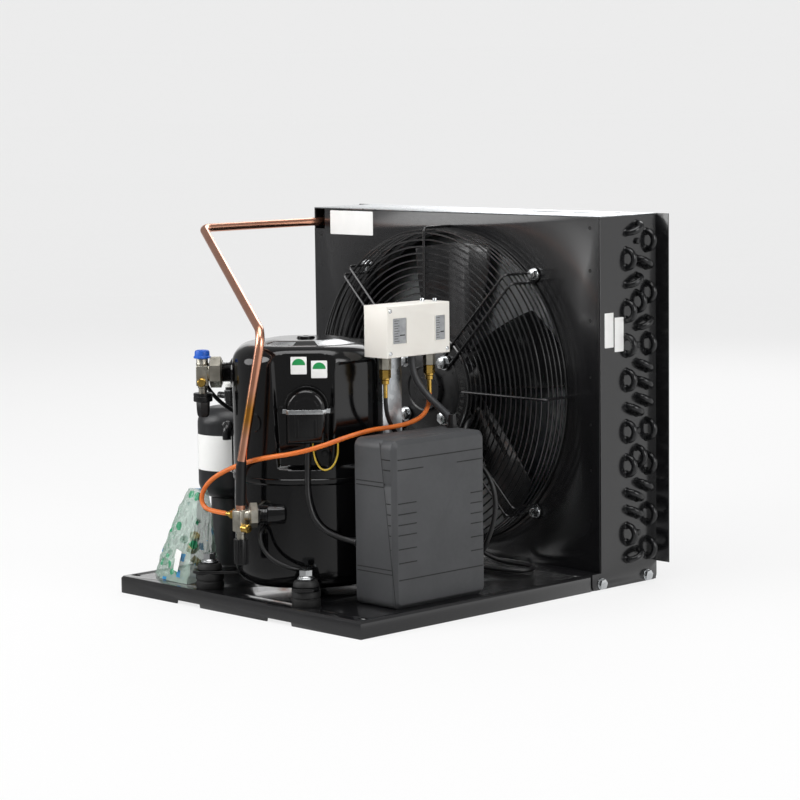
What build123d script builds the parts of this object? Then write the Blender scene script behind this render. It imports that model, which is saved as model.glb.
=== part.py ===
from build123d import *
import os
from math import cos, radians, sin, sqrt, tan

# Refrigeration condensing unit, in millimetres. +Z is up, and the floor is z = 0.
# +X runs along the condenser, towards its return bends. -Y is the compressor side.
# The origin is on the floor, under the middle of the whole unit.

os.makedirs("parts", exist_ok=True)

# Base pan, pressed from sheet with its flanges turned down
case_half = 300.0
base_left = -211.0
base_right = case_half
base_front = -292.0
base_rear = 309.0
deck_height = 24.0
base_sheet = 2.0
base_corner = 9.0
pan_edge_round = 3.0
slot_width = 9.0
slot_length = 16.0
slot_inset_x = 16.0
slot_inset_y = 20.0
slot_rows_apart = 420.0
lift_notch_length = 48.0
lift_notch_depth = 5.0
lift_notch_centres = (-54.0, 138.0)

# Condenser case
shroud_face = 185.0
unit_height = 538.0
case_sheet = 1.5
rear_flange = 24.6
rear_flange_bottom = 27.0
foot_front = 167.0
foot_bolt_places = ((186.5, 8.6), (287.2, 8.6))
foot_bolt_shank = 3.0
foot_corner = 8.0
seam_flange = 20.0
pipe_notch_width = 24.0
pipe_notch_height = 33.0
pipe_below_top = 22.0
pipe_inset = 14.0
stiffener_length = 150.0
stiffener_width = 30.0
stiffener_side_inset = 120.0
stiffener_rear_inset = 40.0
stiffener_rise = 1.0
stiffener_taper = 30.0

# Coil: three staggered columns of tubes through flat fins
tube_pitch = 25.0
column_pitch = 22.0
first_column = 242.0
first_row = 37.2
row_count = 20
tube_diameter = 9.5
fin_pitch = 16.0
fin_thickness = 0.8
fin_margin = 11.0
fin_end_gap = 3.0
bend_stub = 3.0
tube_sides = 4

# Fan, guard and motor
fan_drop = 5.0
fan_z = (unit_height + deck_height) / 2 - fan_drop
opening_margin = 27.0
opening_radius = (unit_height - deck_height) / 2 - opening_margin
opening_sides = 36
orifice_depth = 20.0
guard_face = 135.0
guard_ring_radius = opening_radius + 2
guard_rim_radius = opening_radius + 7
guard_inner_ring = 72.0
guard_ring_pitch = 20.0
guard_side_pitch = 16.0
guard_wire = 3.0
guard_rod = 4.0
guard_turn = 5.0
guard_bolt_place = opening_radius + 18
guard_bolt_shank = 3.0
case_bolt_flats = 13.0
case_bolt_head = 6.0
bolt_end = 6.0
guard_rod_half_gap = 9.0
motor_eye = 10.0
rim_eye = 9.3
ring_sides = 16
eye_sides = 8
round_sides = 20
motor_flange_radius = 68.0
motor_flange = 3.0
motor_cap_radius = 34.0
motor_cap_depth = 8.0
motor_body_radius = 46.0
motor_body_depth = 34.0
motor_bolt_offset = 41.0
motor_bolt_shank = 3.0
motor_bolt_flats = 16.0
motor_bolt_head = 8.0
shaft_radius = 5.0
shaft_clearance = 0.05
shaft_reach = 10.0
hub_radius = 48.0
hub_depth = 48.0
hub_gap = 2.5
blade_count = 5
blade_tip = opening_radius - 16
blade_root = 44.0
blade_thickness = 2.0
blade_chord = 136.0
blade_pitch = 19.0
blade_camber = 9.0

# Compressor
comp_x = 58.0
comp_y = -161.0
shell_side = 206.0
shell_corner = 89.0
shell_bottom = 36.0
shell_top = 372.0
seam_z = 192.0
seam_band = 8.0
seam_lip = 2.2
top_round = 27.0
bottom_round = 26.0
crown_radius = 68.0
crown_rise = 5.0
recess_width = 82.0
recess_depth = 8.0
recess_bottom = 204.0
boss_radius = 12.0
boss_height = 3.0
mount_spacing = 202.0
mount_x = 60.0
mount_y = -161.0
grommet_radius = 20.0
grommet_ring_radius = 17.5
grommet_ring_height = 10.0
grommet_sides = 8
foot_z = 46.0
foot_plate = 4.0
foot_width = 38.0
foot_root = 92.0
foot_tip = 166.0
foot_chamfer = 9.0
mount_stud_radius = 4.0
mount_hole_radius = 9.0
mount_bolt_flats = 17.0
mount_bolt_head = 14.0

# Terminal box, on the face that looks along +X and -Y
fence_width = 60.0
fence_bottom = 238.0
fence_top = 320.0
fence_depth = 9.0
cover_width = 52.0
cover_depth = 24.0
cover_wall = 2.0
cover_edge = 3.0
strap_z = 283.0
strap_width = 6.0
strap_sheet = 1.2
strap_reach = 31.5
strap_rise = 10.5
fence_wall = 2.5
pin_plug_radius = 16.0
pin_plug = 3.0
pin_circle = 8.0
pin_radius = 1.6
pin_length = 12.0
terminal_shift = 4.0

# Service valves
spud_radius = 14.0
spud_neck_radius = 11.0
spud_neck = 9.0
tail_radius = 9.5
nut_length = 17.0
suction_z = 330.0
suction_spud_end = 118.5
suction_reach = 146.0
suction_nut_flats = 38.0
suction_block_bottom = 311.0
suction_block_top = 340.0
suction_port_top = 359.0
suction_port_radius = 8.0
suction_port_bore = 6.4
suction_port_depth = 30.0
suction_gauge_z = 317.0
discharge_x = 71.7
discharge_y = -299.6
discharge_axis_z = 143.0
discharge_aim = 235.0
discharge_nut_flats = 30.0
discharge_nut_near = 12.1
discharge_nut_length = 11.0
discharge_spud = 36.0
discharge_block_bottom = 121.0
discharge_block_top = 151.0
valve_block = 17.0
stem_radius = 6.0
stem_length = 20.0
spindle_radius = 4.0
spindle_length = 24.0
spindle_set_in = 6.0
spindle_square = 5.5
cap_radius = 13.5
cap_collar = 12.0
cap_tip_radius = 8.5
cap_height = 34.0
cap_wall = 2.0
cap_grip = 10.0
ribbed_cap_radius = 10.5
ribbed_cap_height = 36.0
port_cap_radius = 6.0
port_cap_length = 12.0
fitting_nut = 12.0
fitting_barb = 8.0
plug_bottom = 350.0
plug_top = 361.5
plug_brim = 3.0
plug_brim_radius = 12.0
plug_radius = 10.5
fit_gap = 0.3

# Receiver
receiver_x = -150.0
receiver_y = -126.0
receiver_radius = 47.5
receiver_bottom = 128.0
receiver_top = 262.0
receiver_dome = 24.0
receiver_foot_radius = 30.0
receiver_foot_wall = 3.0
receiver_flange_radius = 38.0
receiver_valve_radius = 8.0
receiver_valve_top = 290.0
receiver_cap_radius = 6.5
receiver_cap_height = 7.0
receiver_outlet_z = 277.0
receiver_outlet_radius = 5.0
receiver_outlet_reach = 22.0
elbow_z = 238.0
elbow_reach = 14.0
elbow_drop = 18.0
elbow_turn = 9.0
elbow_diameter = 12.7

# Pressure switch on its post
switch_back = 166.5
switch_front = 212.5
switch_left = -151.0
switch_right = -30.0
switch_bottom = 356.0
switch_top = 427.0
switch_cover_sheet = 1.6
switch_edge = 2.0
window_depth = 0.8
window_places = ((-128.0, 392.5, 26.0, 35.0), (-49.5, 392.0, 19.0, 34.0))
post_front = 173.0
post_left = -124.0
post_right = -87.0
post_sheet = 2.0
post_flange = 10.0
post_foot = 22.0
post_tab = 28.0
port_places = ((192.5, -137.3), (192.5, -52.0))
port_nut_flats = 15.0
port_nut_length = 17.0
flare_flats = 14.0
flare_length = 20.0
barb_radius = 3.2
barb_end = 300.0
bellows_radius = 11.5
bellows_height = 26.0
switch_spindle_places = ((178.0, -50.0), (192.0, -39.0))
switch_spindle_radius = 3.0
switch_spindle_rise = 4.0
switch_spindle_depth = 12.0
spindle_slot = 1.2
shelf_front = 202.0
shelf_middle = -45.0
shelf_width = 24.0

# Electrical box
box_back = 204.0
box_front = 280.0
box_near = -208.0
box_far = -31.0
box_height = 229.0
box_wall = 2.5
box_seam_top = 253.0
box_seam_lean = 7.0
box_edge = 12.0
groove_width = 4.0
groove_depth = 1.0
groove_heights = (75.0, 193.0)
capacitor_radius = 20.0
capacitor_height = 100.0
capacitor_places = (-180.0, -134.0)
relay_size = (34.0, 46.0, 50.0)
relay_place = (-70.0, 170.0)
terminal_block_size = (20.0, 70.0, 26.0)
terminal_block_place = (-74.0, 60.0)

# Headers on the coil's left end
header_out = 9.0
header_tail = 14.0
gas_header_radius = 8.0
liquid_header_radius = 5.0
liquid_header_y = 299.0
feeder_diameter = 8.5

# Bag of fittings
bag_top = 152.0

# Pipes and hoses
cord_sides = 6
discharge_pipe = 12.7
liquid_pipe = 9.5
hose_orange = 6.5
hose_black = 6.0
cable_black = 8.0
cable_thick = 10.0
cable_motor = 7.0
heater_lead_size = 6.0
earth_wire_size = 2.6


def bent_tube(points, radii, diameter, sides=0):
    """A rod along straight runs joined by tangent arcs: round, or with flat sides."""
    with BuildPart() as tube:
        with BuildLine() as route:
            FilletPolyline(*points, radius=radii)
        with BuildSketch(Plane(origin=route.line @ 0, z_dir=route.line % 0)):
            if sides:
                RegularPolygon(diameter / 2, sides)
            else:
                Circle(diameter / 2)
        sweep(path=route.line)
    return tube.part


def mitred_tube(points, diameter):
    """A short tube with plain mitred corners."""
    with BuildPart() as tube:
        with BuildLine() as route:
            Polyline(*points)
        with BuildSketch(Plane(origin=route.line @ 0, z_dir=route.line % 0)):
            RegularPolygon(diameter / 2, tube_sides)
        sweep(path=route.line, transition=Transition.RIGHT)
    return tube.part


def cord_radii(points):
    """The largest even arc at each corner: 0.45 of the shorter run over tan(half turn)."""
    corners = [Vector(*point) for point in points]
    radii = []
    for before, corner, after in zip(corners, corners[1:], corners[2:]):
        into = corner - before
        out = after - corner
        half_turn = radians(into.get_angle(out)) / 2
        radii.append(0.45 * min(into.length, out.length) / tan(half_turn))
    return radii


def cord(name, points, diameter):
    """A hose or cable along its route, with its radii and length printed."""
    radii = cord_radii(points)
    tube = bent_tube(points, radii, diameter, cord_sides)
    section = cord_sides / 2 * (diameter / 2) ** 2 * sin(radians(360 / cord_sides))
    length = tube.volume / section
    print(name, "radii", [round(radius) for radius in radii], "length", round(length))
    return tube


def hex_bolt(flats, head, shank_radius, shank):
    """A hexagon bolt with its head towards +Z and the head's underside at z = 0."""
    with BuildPart() as bolt:
        with BuildSketch():
            RegularPolygon(flats / 2, 6, major_radius=False)
        extrude(amount=head)
        with BuildSketch():
            RegularPolygon(shank_radius, 6)
        extrude(amount=-shank)
    return bolt.part


# Base pan: a shallow tray turned upside down, stepped in at the condenser's end plate
plate_line = base_right - case_sheet
with BuildPart() as base_plate:
    with BuildSketch():
        with BuildLine():
            Polyline(
                (base_left, base_front),
                (base_right, base_front),
                (base_right, foot_front - 4),
                (plate_line, foot_front - 4),
                (plate_line, base_rear),
                (base_left, base_rear),
                close=True,
            )
        make_face()
        fillet(vertices().sort_by(Axis.X)[:2], base_corner)
    extrude(amount=deck_height)
    chamfer(faces().sort_by(Axis.Z)[-1].edges(), pan_edge_round)
    with BuildSketch():
        with BuildLine():
            Polyline(
                (base_left + base_sheet, base_front + base_sheet),
                (plate_line - base_sheet, base_front + base_sheet),
                (plate_line - base_sheet, base_rear - base_sheet),
                (base_left + base_sheet, base_rear - base_sheet),
                close=True,
            )
        make_face()
        fillet(vertices().sort_by(Axis.X)[:2], base_corner - base_sheet)
    extrude(amount=deck_height - base_sheet, mode=Mode.SUBTRACT)
    with BuildSketch(Plane.XZ.offset(-base_front - base_sheet - 1)):
        for centre in lift_notch_centres:
            with Locations((centre, 0)):
                Trapezoid(lift_notch_length + 6, 2 * lift_notch_depth, 75)
    extrude(amount=base_sheet + 2, mode=Mode.SUBTRACT)
    slot_span = base_right - base_left - 2 * slot_inset_x
    slot_middle_x = (base_left + base_right) / 2
    slot_middle_y = base_front + slot_inset_y + slot_rows_apart / 2
    with BuildSketch(Plane.XY.offset(deck_height)):
        with Locations((slot_middle_x, slot_middle_y)):
            with GridLocations(slot_span, slot_rows_apart, 2, 2):
                SlotOverall(slot_length, slot_width)
    extrude(amount=-2 * base_sheet, mode=Mode.SUBTRACT)
    with BuildSketch(Plane(origin=(mount_x, mount_y, deck_height))):
        with GridLocations(mount_spacing, mount_spacing, 2, 2):
            RegularPolygon(mount_stud_radius + fit_gap, eye_sides)
    extrude(amount=-2 * base_sheet, mode=Mode.SUBTRACT)
    with BuildSketch(Plane.YZ.offset(case_half)):
        with Locations(*foot_bolt_places):
            RegularPolygon(foot_bolt_shank + fit_gap, eye_sides)
    extrude(amount=-20, mode=Mode.SUBTRACT)
base_plate.part.label = "base_plate"
export_step(base_plate.part, "parts/base_plate.step")


# End plates: tube sheets that reach the floor, with a flange that shields the bends
def end_plate(side):
    outer = side * case_half
    inner = outer - side * case_sheet
    with BuildPart() as plate:
        with BuildSketch(Plane.YZ.offset(min(outer, inner))):
            with BuildLine():
                Polyline(
                    (foot_front, 0),
                    (base_rear, 0),
                    (base_rear, unit_height - case_sheet),
                    (shroud_face + case_sheet, unit_height - case_sheet),
                    (shroud_face + case_sheet, deck_height),
                    (foot_front, deck_height),
                    close=True,
                )
            make_face()
            fillet(vertices().sort_by(Axis.Y)[:2], foot_corner)
        extrude(amount=case_sheet)
        with BuildSketch(Plane.XZ.offset(-base_rear)):
            with Locations((outer + side * rear_flange / 2, (unit_height + rear_flange_bottom) / 2)):
                Rectangle(rear_flange, unit_height - rear_flange_bottom)
        extrude(amount=case_sheet)
    return plate.part


with BuildPart() as end_plate_right:
    add(end_plate(1))
    with BuildSketch(Plane.YZ.offset(case_half)):
        with Locations(*foot_bolt_places):
            RegularPolygon(foot_bolt_shank + fit_gap, eye_sides)
    extrude(amount=-case_sheet, mode=Mode.SUBTRACT)
end_plate_right.part.label = "end_plate_right"
export_step(end_plate_right.part, "parts/end_plate_right.step")

pipe_z = unit_height - pipe_below_top
pipe_x = pipe_inset - case_half
gas_pipe_y = 212.0
with BuildPart() as end_plate_left:
    add(end_plate(-1))
    with BuildSketch(Plane.YZ.offset(-case_half)):
        with Locations((gas_pipe_y, pipe_z)):
            Circle(discharge_pipe / 2 + fit_gap)
    extrude(amount=case_sheet, mode=Mode.SUBTRACT)
end_plate_left.part.label = "end_plate_left"
export_step(end_plate_left.part, "parts/end_plate_left.step")

# Fan shroud: front panel with a rolled orifice and turned seams
with BuildPart() as fan_shroud:
    with BuildSketch(Plane.XZ.offset(-shroud_face - case_sheet)):
        with Locations((0, (unit_height + deck_height) / 2)):
            Rectangle(2 * case_half, unit_height - deck_height)
        with Locations((-case_half + pipe_notch_width / 2, unit_height - pipe_notch_height / 2)):
            Rectangle(pipe_notch_width, pipe_notch_height, mode=Mode.SUBTRACT)
        with Locations((0, fan_z)):
            RegularPolygon(opening_radius, opening_sides, mode=Mode.SUBTRACT)
            with PolarLocations(guard_bolt_place, 4, start_angle=45):
                RegularPolygon(guard_bolt_shank + fit_gap, eye_sides, mode=Mode.SUBTRACT)
    extrude(amount=case_sheet)
    seam_middle = shroud_face + case_sheet + seam_flange / 2
    with BuildSketch(Plane.XY.offset(deck_height)):
        with Locations(((plate_line + base_left) / 2, seam_middle)):
            Rectangle(plate_line - base_left, seam_flange)
    extrude(amount=case_sheet)
    with BuildSketch(Plane.XY.offset(unit_height - 2 * case_sheet)):
        with Locations((pipe_notch_width / 2, seam_middle)):
            Rectangle(2 * case_half - pipe_notch_width - 2 * case_sheet, seam_flange)
    extrude(amount=case_sheet)
    with BuildSketch(Plane.XZ.offset(-shroud_face - case_sheet - orifice_depth)):
        with Locations((0, fan_z)):
            RegularPolygon(opening_radius + case_sheet, opening_sides)
            RegularPolygon(opening_radius, opening_sides, mode=Mode.SUBTRACT)
    extrude(amount=case_sheet + orifice_depth)
fan_shroud.part.label = "fan_shroud"
export_step(fan_shroud.part, "parts/fan_shroud.step")

# Top lid: pale sheet that closes the coil space from above
with BuildPart() as top_lid:
    with BuildSketch(Plane.XY.offset(unit_height - case_sheet)):
        with Locations((0, (shroud_face + case_sheet + base_rear - case_sheet) / 2)):
            Rectangle(2 * case_half, base_rear - shroud_face - 2 * case_sheet)
    extrude(amount=case_sheet)
    with BuildSketch(Plane.XY.offset(unit_height)):
        with Locations((case_half - stiffener_side_inset, base_rear - stiffener_rear_inset)):
            Rectangle(stiffener_length, stiffener_width)
    extrude(amount=stiffener_rise, taper=stiffener_taper)
top_lid.part.label = "top_lid"
export_step(top_lid.part, "parts/top_lid.step")

# Fins: flat plates that the tubes run through
coil_front = first_column - fin_margin
coil_back = first_column + 2 * column_pitch + fin_margin
fin_bottom = deck_height + case_sheet + 1
fin_top = unit_height - 2 * case_sheet - 1
fin_count = int((2 * case_half - 2 * fin_end_gap) / fin_pitch)
fin_centre_y = (coil_front + coil_back) / 2
fin_centre_z = (fin_bottom + fin_top) / 2
fin_steps = [fin_pitch * (index - (fin_count - 1) / 2) for index in range(fin_count)]
fin_places = [(step, fin_centre_y, fin_centre_z) for step in fin_steps]
with BuildPart() as coil_fins:
    with Locations(fin_places):
        Box(fin_thickness, coil_back - coil_front, fin_top - fin_bottom)
coil_fins.part.label = "coil_fins"
export_step(coil_fins.part, "parts/coil_fins.step")


# Coil tubes: three columns, the middle one half a pitch higher
def tube_z(column, row):
    return first_row + tube_pitch * row + (tube_pitch / 2 if column == 1 else 0)


def tube_y(column):
    return first_column + column_pitch * column


unused_rows = (1, 7, 12, 18)
with BuildPart() as coil_tubes:
    with BuildSketch(Plane.YZ.offset(-case_half)):
        for column in range(3):
            for row in range(row_count):
                with Locations((tube_y(column), tube_z(column, row))):
                    RegularPolygon(tube_diameter / 2, tube_sides)
    extrude(amount=2 * case_half)
coil_tubes.part.label = "coil_tubes"
export_step(coil_tubes.part, "parts/coil_tubes.step")


def u_bend(start, end, side):
    """A return bend between two tube ends, given as (column, row), at one end of the coil."""
    first = Vector(side * case_half, tube_y(start[0]), tube_z(*start))
    last = Vector(side * case_half, tube_y(end[0]), tube_z(*end))
    out = Vector(side, 0, 0)
    reach = (last - first).length / 2
    shoulder = out * (bend_stub + reach / 2)
    crest = (first + last) * 0.5 + out * (bend_stub + reach)
    corners = [first, first + shoulder, crest, last + shoulder, last]
    with BuildPart() as bend:
        with BuildLine() as route:
            Polyline(*corners)
        with BuildSketch(Plane(origin=first, x_dir=last - first, z_dir=out)):
            RegularPolygon(tube_diameter / 2, tube_sides)
        sweep(path=route.line, transition=Transition.RIGHT)
    return bend.part


right_loops = {0: (1, 5, 7, 10, 12, 14, 17), 1: (5, 14), 2: (0, 2, 5, 7, 12, 15, 18)}
right_front_links = ((0, 0), (3, 2), (4, 3), (9, 8), (16, 16), (19, 19))
right_rear_links = ((4, 4), (9, 9), (10, 10), (11, 11), (13, 14), (17, 17))
right_pairs = [(column, row) for column, rows in right_loops.items() for row in rows]
right_bends = [u_bend((column, row), (column, row + 1), 1) for column, row in right_pairs]
right_bends += [u_bend((0, front), (1, middle), 1) for front, middle in right_front_links]
right_bends += [u_bend((1, middle), (2, rear), 1) for middle, rear in right_rear_links]
with BuildPart() as return_bends:
    add(right_bends)
    with BuildSketch(Plane.YZ.offset(case_half)):
        for row in unused_rows:
            with Locations((tube_y(1), tube_z(1, row))):
                RegularPolygon(tube_diameter / 2, tube_sides)
    extrude(amount=2 * bend_stub)
return_bends.part.label = "return_bends"
export_step(return_bends.part, "parts/return_bends.step")

left_loops = {
    0: (0, 2, 4, 6, 8, 11, 13, 15, 18),
    1: (0, 2, 4, 6, 8, 10, 12, 15, 17),
    2: (1, 3, 6, 8, 11, 13, 16),
}
left_pairs = [(column, row) for column, rows in left_loops.items() for row in rows]
left_bends = [u_bend((column, row), (column, row + 1), -1) for column, row in left_pairs]
with BuildPart() as hairpin_bends:
    add(left_bends)
hairpin_bends.part.label = "hairpin_bends"
export_step(hairpin_bends.part, "parts/hairpin_bends.step")

# Fan guard rings: a flat face of wire rings, then more rings down the side to the shroud
guard_front = guard_face - guard_wire / 2
front_rings = int((guard_ring_radius - guard_inner_ring) / guard_ring_pitch) + 1
side_rings = int((shroud_face - guard_face) / guard_side_pitch)
ring_places = [(guard_inner_ring + guard_ring_pitch * index, guard_face) for index in range(front_rings)]
side_steps = [guard_side_pitch * (index + 1) for index in range(side_rings)]
ring_places += [(guard_rim_radius, guard_face + step) for step in side_steps]


def fan_plane(place_y):
    """A plane across the fan's axis that faces the front."""
    return Plane(origin=(0, place_y, fan_z), x_dir=(1, 0, 0), z_dir=(0, -1, 0))


with BuildPart() as guard_rings:
    for radius, place_y in ring_places:
        with BuildSketch(fan_plane(place_y + guard_wire / 2)):
            RegularPolygon(radius + guard_wire / 2, ring_sides)
            RegularPolygon(radius - guard_wire / 2, ring_sides, mode=Mode.SUBTRACT)
        extrude(amount=guard_wire)
guard_rings.part.label = "guard_rings"
export_step(guard_rings.part, "parts/guard_rings.step")

# Guard rods: they cross the rings' front, turn back over the side rings and end in eyes
rod_front = guard_front - guard_rod
rod_inner = guard_rim_radius + guard_wire / 2
rod_outer = rod_inner + guard_rod
motor_eye_place = motor_bolt_offset * sqrt(2)
rod_places = [(angle, guard_inner_ring, 0) for angle in (0, 90, 180, 270)]
for diagonal in (45, 135, 225, 315):
    rod_places += [(diagonal, motor_eye_place, side * guard_rod_half_gap) for side in (-1, 1)]
with BuildPart() as guard_rods:
    for angle, start, beside in rod_places:
        across = Vector(sin(radians(angle)), 0, -cos(radians(angle)))
        corner = Vector(0, 0, fan_z) + across * (beside - guard_rod / 2)
        with BuildSketch(Plane(origin=corner, x_dir=(0, 1, 0), z_dir=across)):
            with BuildLine():
                Polyline(
                    (rod_front, start),
                    (rod_front, rod_outer - guard_turn - guard_rod / 2),
                    (rod_front + guard_turn + guard_rod / 2, rod_outer),
                    (shroud_face, rod_outer),
                    (shroud_face, rod_inner),
                    (guard_front + guard_turn, rod_inner),
                    (guard_front, rod_inner - guard_turn),
                    (guard_front, start),
                    close=True,
                )
            make_face()
        extrude(amount=guard_rod)
    with BuildSketch(fan_plane(guard_front)):
        with PolarLocations(motor_eye_place, 4, start_angle=45):
            RegularPolygon(motor_eye, eye_sides)
    extrude(amount=guard_rod)
    with BuildSketch(fan_plane(shroud_face)):
        with PolarLocations(guard_bolt_place, 4, start_angle=45):
            RegularPolygon(rim_eye, eye_sides)
    extrude(amount=guard_rod)
    with BuildSketch(fan_plane(shroud_face)):
        with PolarLocations(guard_bolt_place, 4, start_angle=45):
            RegularPolygon(guard_bolt_shank + fit_gap, eye_sides)
        with PolarLocations(motor_eye_place, 4, start_angle=45):
            RegularPolygon(motor_bolt_shank + fit_gap, eye_sides)
    extrude(amount=shroud_face - rod_front, mode=Mode.SUBTRACT)
guard_rods.part.label = "guard_rods"
export_step(guard_rods.part, "parts/guard_rods.step")

# Case bolts hold the guard's rim eyes to the shroud, its inner eyes to the fan motor
# and the end plate's foot to the base
guard_grip = guard_rod + case_sheet + bolt_end
foot_grip = case_sheet + base_sheet + bolt_end
motor_bolt = hex_bolt(motor_bolt_flats, motor_bolt_head, motor_bolt_shank, guard_rod + motor_flange)
with BuildPart() as case_bolts:
    with Locations(fan_plane(shroud_face - guard_rod)):
        with PolarLocations(guard_bolt_place, 4, start_angle=45):
            add(hex_bolt(case_bolt_flats, case_bolt_head, guard_bolt_shank, guard_grip))
    with Locations(Plane.YZ.offset(case_half)):
        with Locations(*foot_bolt_places):
            add(hex_bolt(case_bolt_flats, case_bolt_head, foot_bolt_shank, foot_grip))
    with Locations(fan_plane(rod_front)):
        with PolarLocations(motor_eye_place, 4, start_angle=45):
            add(motor_bolt)
case_bolts.part.label = "case_bolts"
export_step(case_bolts.part, "parts/case_bolts.step")

# Fan motor: a flanged body that hangs on the guard's inner eyes
motor_back = guard_front + motor_flange + motor_body_depth
with BuildPart() as fan_motor:
    with BuildSketch(fan_plane(guard_front + motor_flange)):
        RegularPolygon(motor_flange_radius, round_sides)
        with PolarLocations(motor_eye_place, 4, start_angle=45):
            RegularPolygon(motor_bolt_shank + fit_gap, eye_sides, mode=Mode.SUBTRACT)
    extrude(amount=motor_flange)
    with BuildSketch(fan_plane(guard_front)):
        RegularPolygon(motor_cap_radius, round_sides)
    extrude(amount=motor_cap_depth, taper=20)
    with BuildSketch(fan_plane(motor_back)):
        RegularPolygon(motor_body_radius, round_sides)
    extrude(amount=motor_body_depth)
    with BuildSketch(fan_plane(motor_back)):
        Circle(shaft_radius + shaft_clearance)
    extrude(amount=shaft_reach + 2, mode=Mode.SUBTRACT)
fan_motor.part.label = "fan_motor"
export_step(fan_motor.part, "parts/fan_motor.step")

# Fan impeller: rotor can with its shaft, and swept blades pressed from sheet
hub_front = motor_back + hub_gap
blade_middle = hub_front + hub_depth / 2


def blade_point(radius, turn):
    """A point of the blade's outline, seen along the fan's axis."""
    return (radius * sin(radians(turn)), fan_z + radius * cos(radians(turn)))


with BuildPart() as blade:
    lean = Vector(cos(radians(blade_pitch)), sin(radians(blade_pitch)))
    bulge = Vector(-lean.Y, lean.X)
    middle = Vector(0, blade_middle)
    left = middle - lean * (blade_chord / 2)
    right = middle + lean * (blade_chord / 2)
    wall = bulge * blade_thickness
    with BuildSketch(Plane.XY.offset(fan_z + blade_root)):
        with BuildLine():
            ThreePointArc(left, middle + bulge * blade_camber, right)
            Line(right, right + wall)
            ThreePointArc(right + wall, middle + bulge * (blade_camber + blade_thickness), left + wall)
            Line(left + wall, left)
        make_face()
    extrude(amount=blade_tip)
    with BuildSketch(Plane.XZ.offset(-blade_middle - blade_chord)):
        with BuildLine():
            ThreePointArc(blade_point(blade_root, -48), blade_point(130, -25), blade_point(blade_tip, -17))
            ThreePointArc(blade_point(blade_tip, -17), blade_point(blade_tip, 0), blade_point(blade_tip, 15))
            ThreePointArc(blade_point(blade_tip, 15), blade_point(130, 17), blade_point(blade_root, 14))
            Line(blade_point(blade_root, 14), blade_point(blade_root, -48))
        make_face()
    extrude(amount=2 * blade_chord, mode=Mode.INTERSECT)

with BuildPart() as fan_impeller:
    with BuildSketch(fan_plane(hub_front + hub_depth)):
        RegularPolygon(hub_radius, round_sides)
    extrude(amount=hub_depth)
    chamfer(faces().sort_by(Axis.Y)[-1].edges(), 4)
    with BuildSketch(fan_plane(hub_front)):
        Circle(shaft_radius)
    extrude(amount=hub_gap + shaft_reach)
    for index in range(blade_count):
        add(blade.part.rotate(Axis((0, 0, fan_z), (0, 1, 0)), 360 / blade_count * index))
fan_impeller.part.label = "fan_impeller"
export_step(fan_impeller.part, "parts/fan_impeller.step")

# Compressor: welded steel shell. Its lower half with the seam band and the discharge stub
face_way = sqrt(0.5)
comp_centre = Vector(comp_x, comp_y, 0)
discharge_way = Vector(cos(radians(discharge_aim)), sin(radians(discharge_aim)), 0)
discharge_block = Vector(discharge_x, discharge_y, discharge_axis_z)


def discharge_plane(back):
    """A plane across the discharge stub, a distance back from the valve block's centre."""
    return Plane(origin=discharge_block - discharge_way * back, x_dir=(0, 0, 1), z_dir=discharge_way)


def suction_plane(reach):
    """A plane across the suction stub, a distance out from the compressor's axis."""
    origin = comp_centre + Vector(-face_way, -face_way, 0) * reach + Vector(0, 0, suction_z)
    return Plane(origin=origin, x_dir=(0, 0, 1), z_dir=(-face_way, -face_way, 0))


discharge_nut_back = discharge_nut_near + discharge_nut_length
with BuildPart() as compressor_lower_shell:
    with BuildSketch(Plane(origin=(comp_x, comp_y, shell_bottom))):
        RectangleRounded(shell_side, shell_side, shell_corner, rotation=45)
    extrude(amount=seam_z - shell_bottom)
    chamfer(faces().sort_by(Axis.Z)[0].edges(), bottom_round)
    with BuildSketch(Plane(origin=(comp_x, comp_y, seam_z - seam_band))):
        RectangleRounded(
            shell_side + 2 * seam_lip, shell_side + 2 * seam_lip, shell_corner + seam_lip, rotation=45
        )
    extrude(amount=seam_band)
    with BuildSketch(discharge_plane(discharge_nut_back)):
        RegularPolygon(spud_radius, round_sides)
    extrude(amount=-discharge_spud)
    with BuildSketch(discharge_plane(discharge_nut_back)):
        RegularPolygon(spud_neck_radius, round_sides)
    extrude(amount=spud_neck)
compressor_lower_shell.part.label = "compressor_lower_shell"
export_step(compressor_lower_shell.part, "parts/compressor_lower_shell.step")


def terminal_plane(reach):
    """A plane on the terminal side of the compressor, a distance out from its axis."""
    origin = comp_centre + Vector(face_way, -face_way, 0) * reach
    return Plane(origin=origin, x_dir=(face_way, face_way, 0), z_dir=(face_way, -face_way, 0))


def arch(plane, shift, width, bottom, top):
    """An upright outline with a round top."""
    with BuildSketch(plane) as outline:
        with BuildLine():
            left = shift - width / 2
            right = shift + width / 2
            spring = top - width / 2
            Polyline((left, spring), (left, bottom), (right, bottom), (right, spring))
            ThreePointArc((right, spring), (shift, top), (left, spring))
        make_face()
    return outline.sketch


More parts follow.
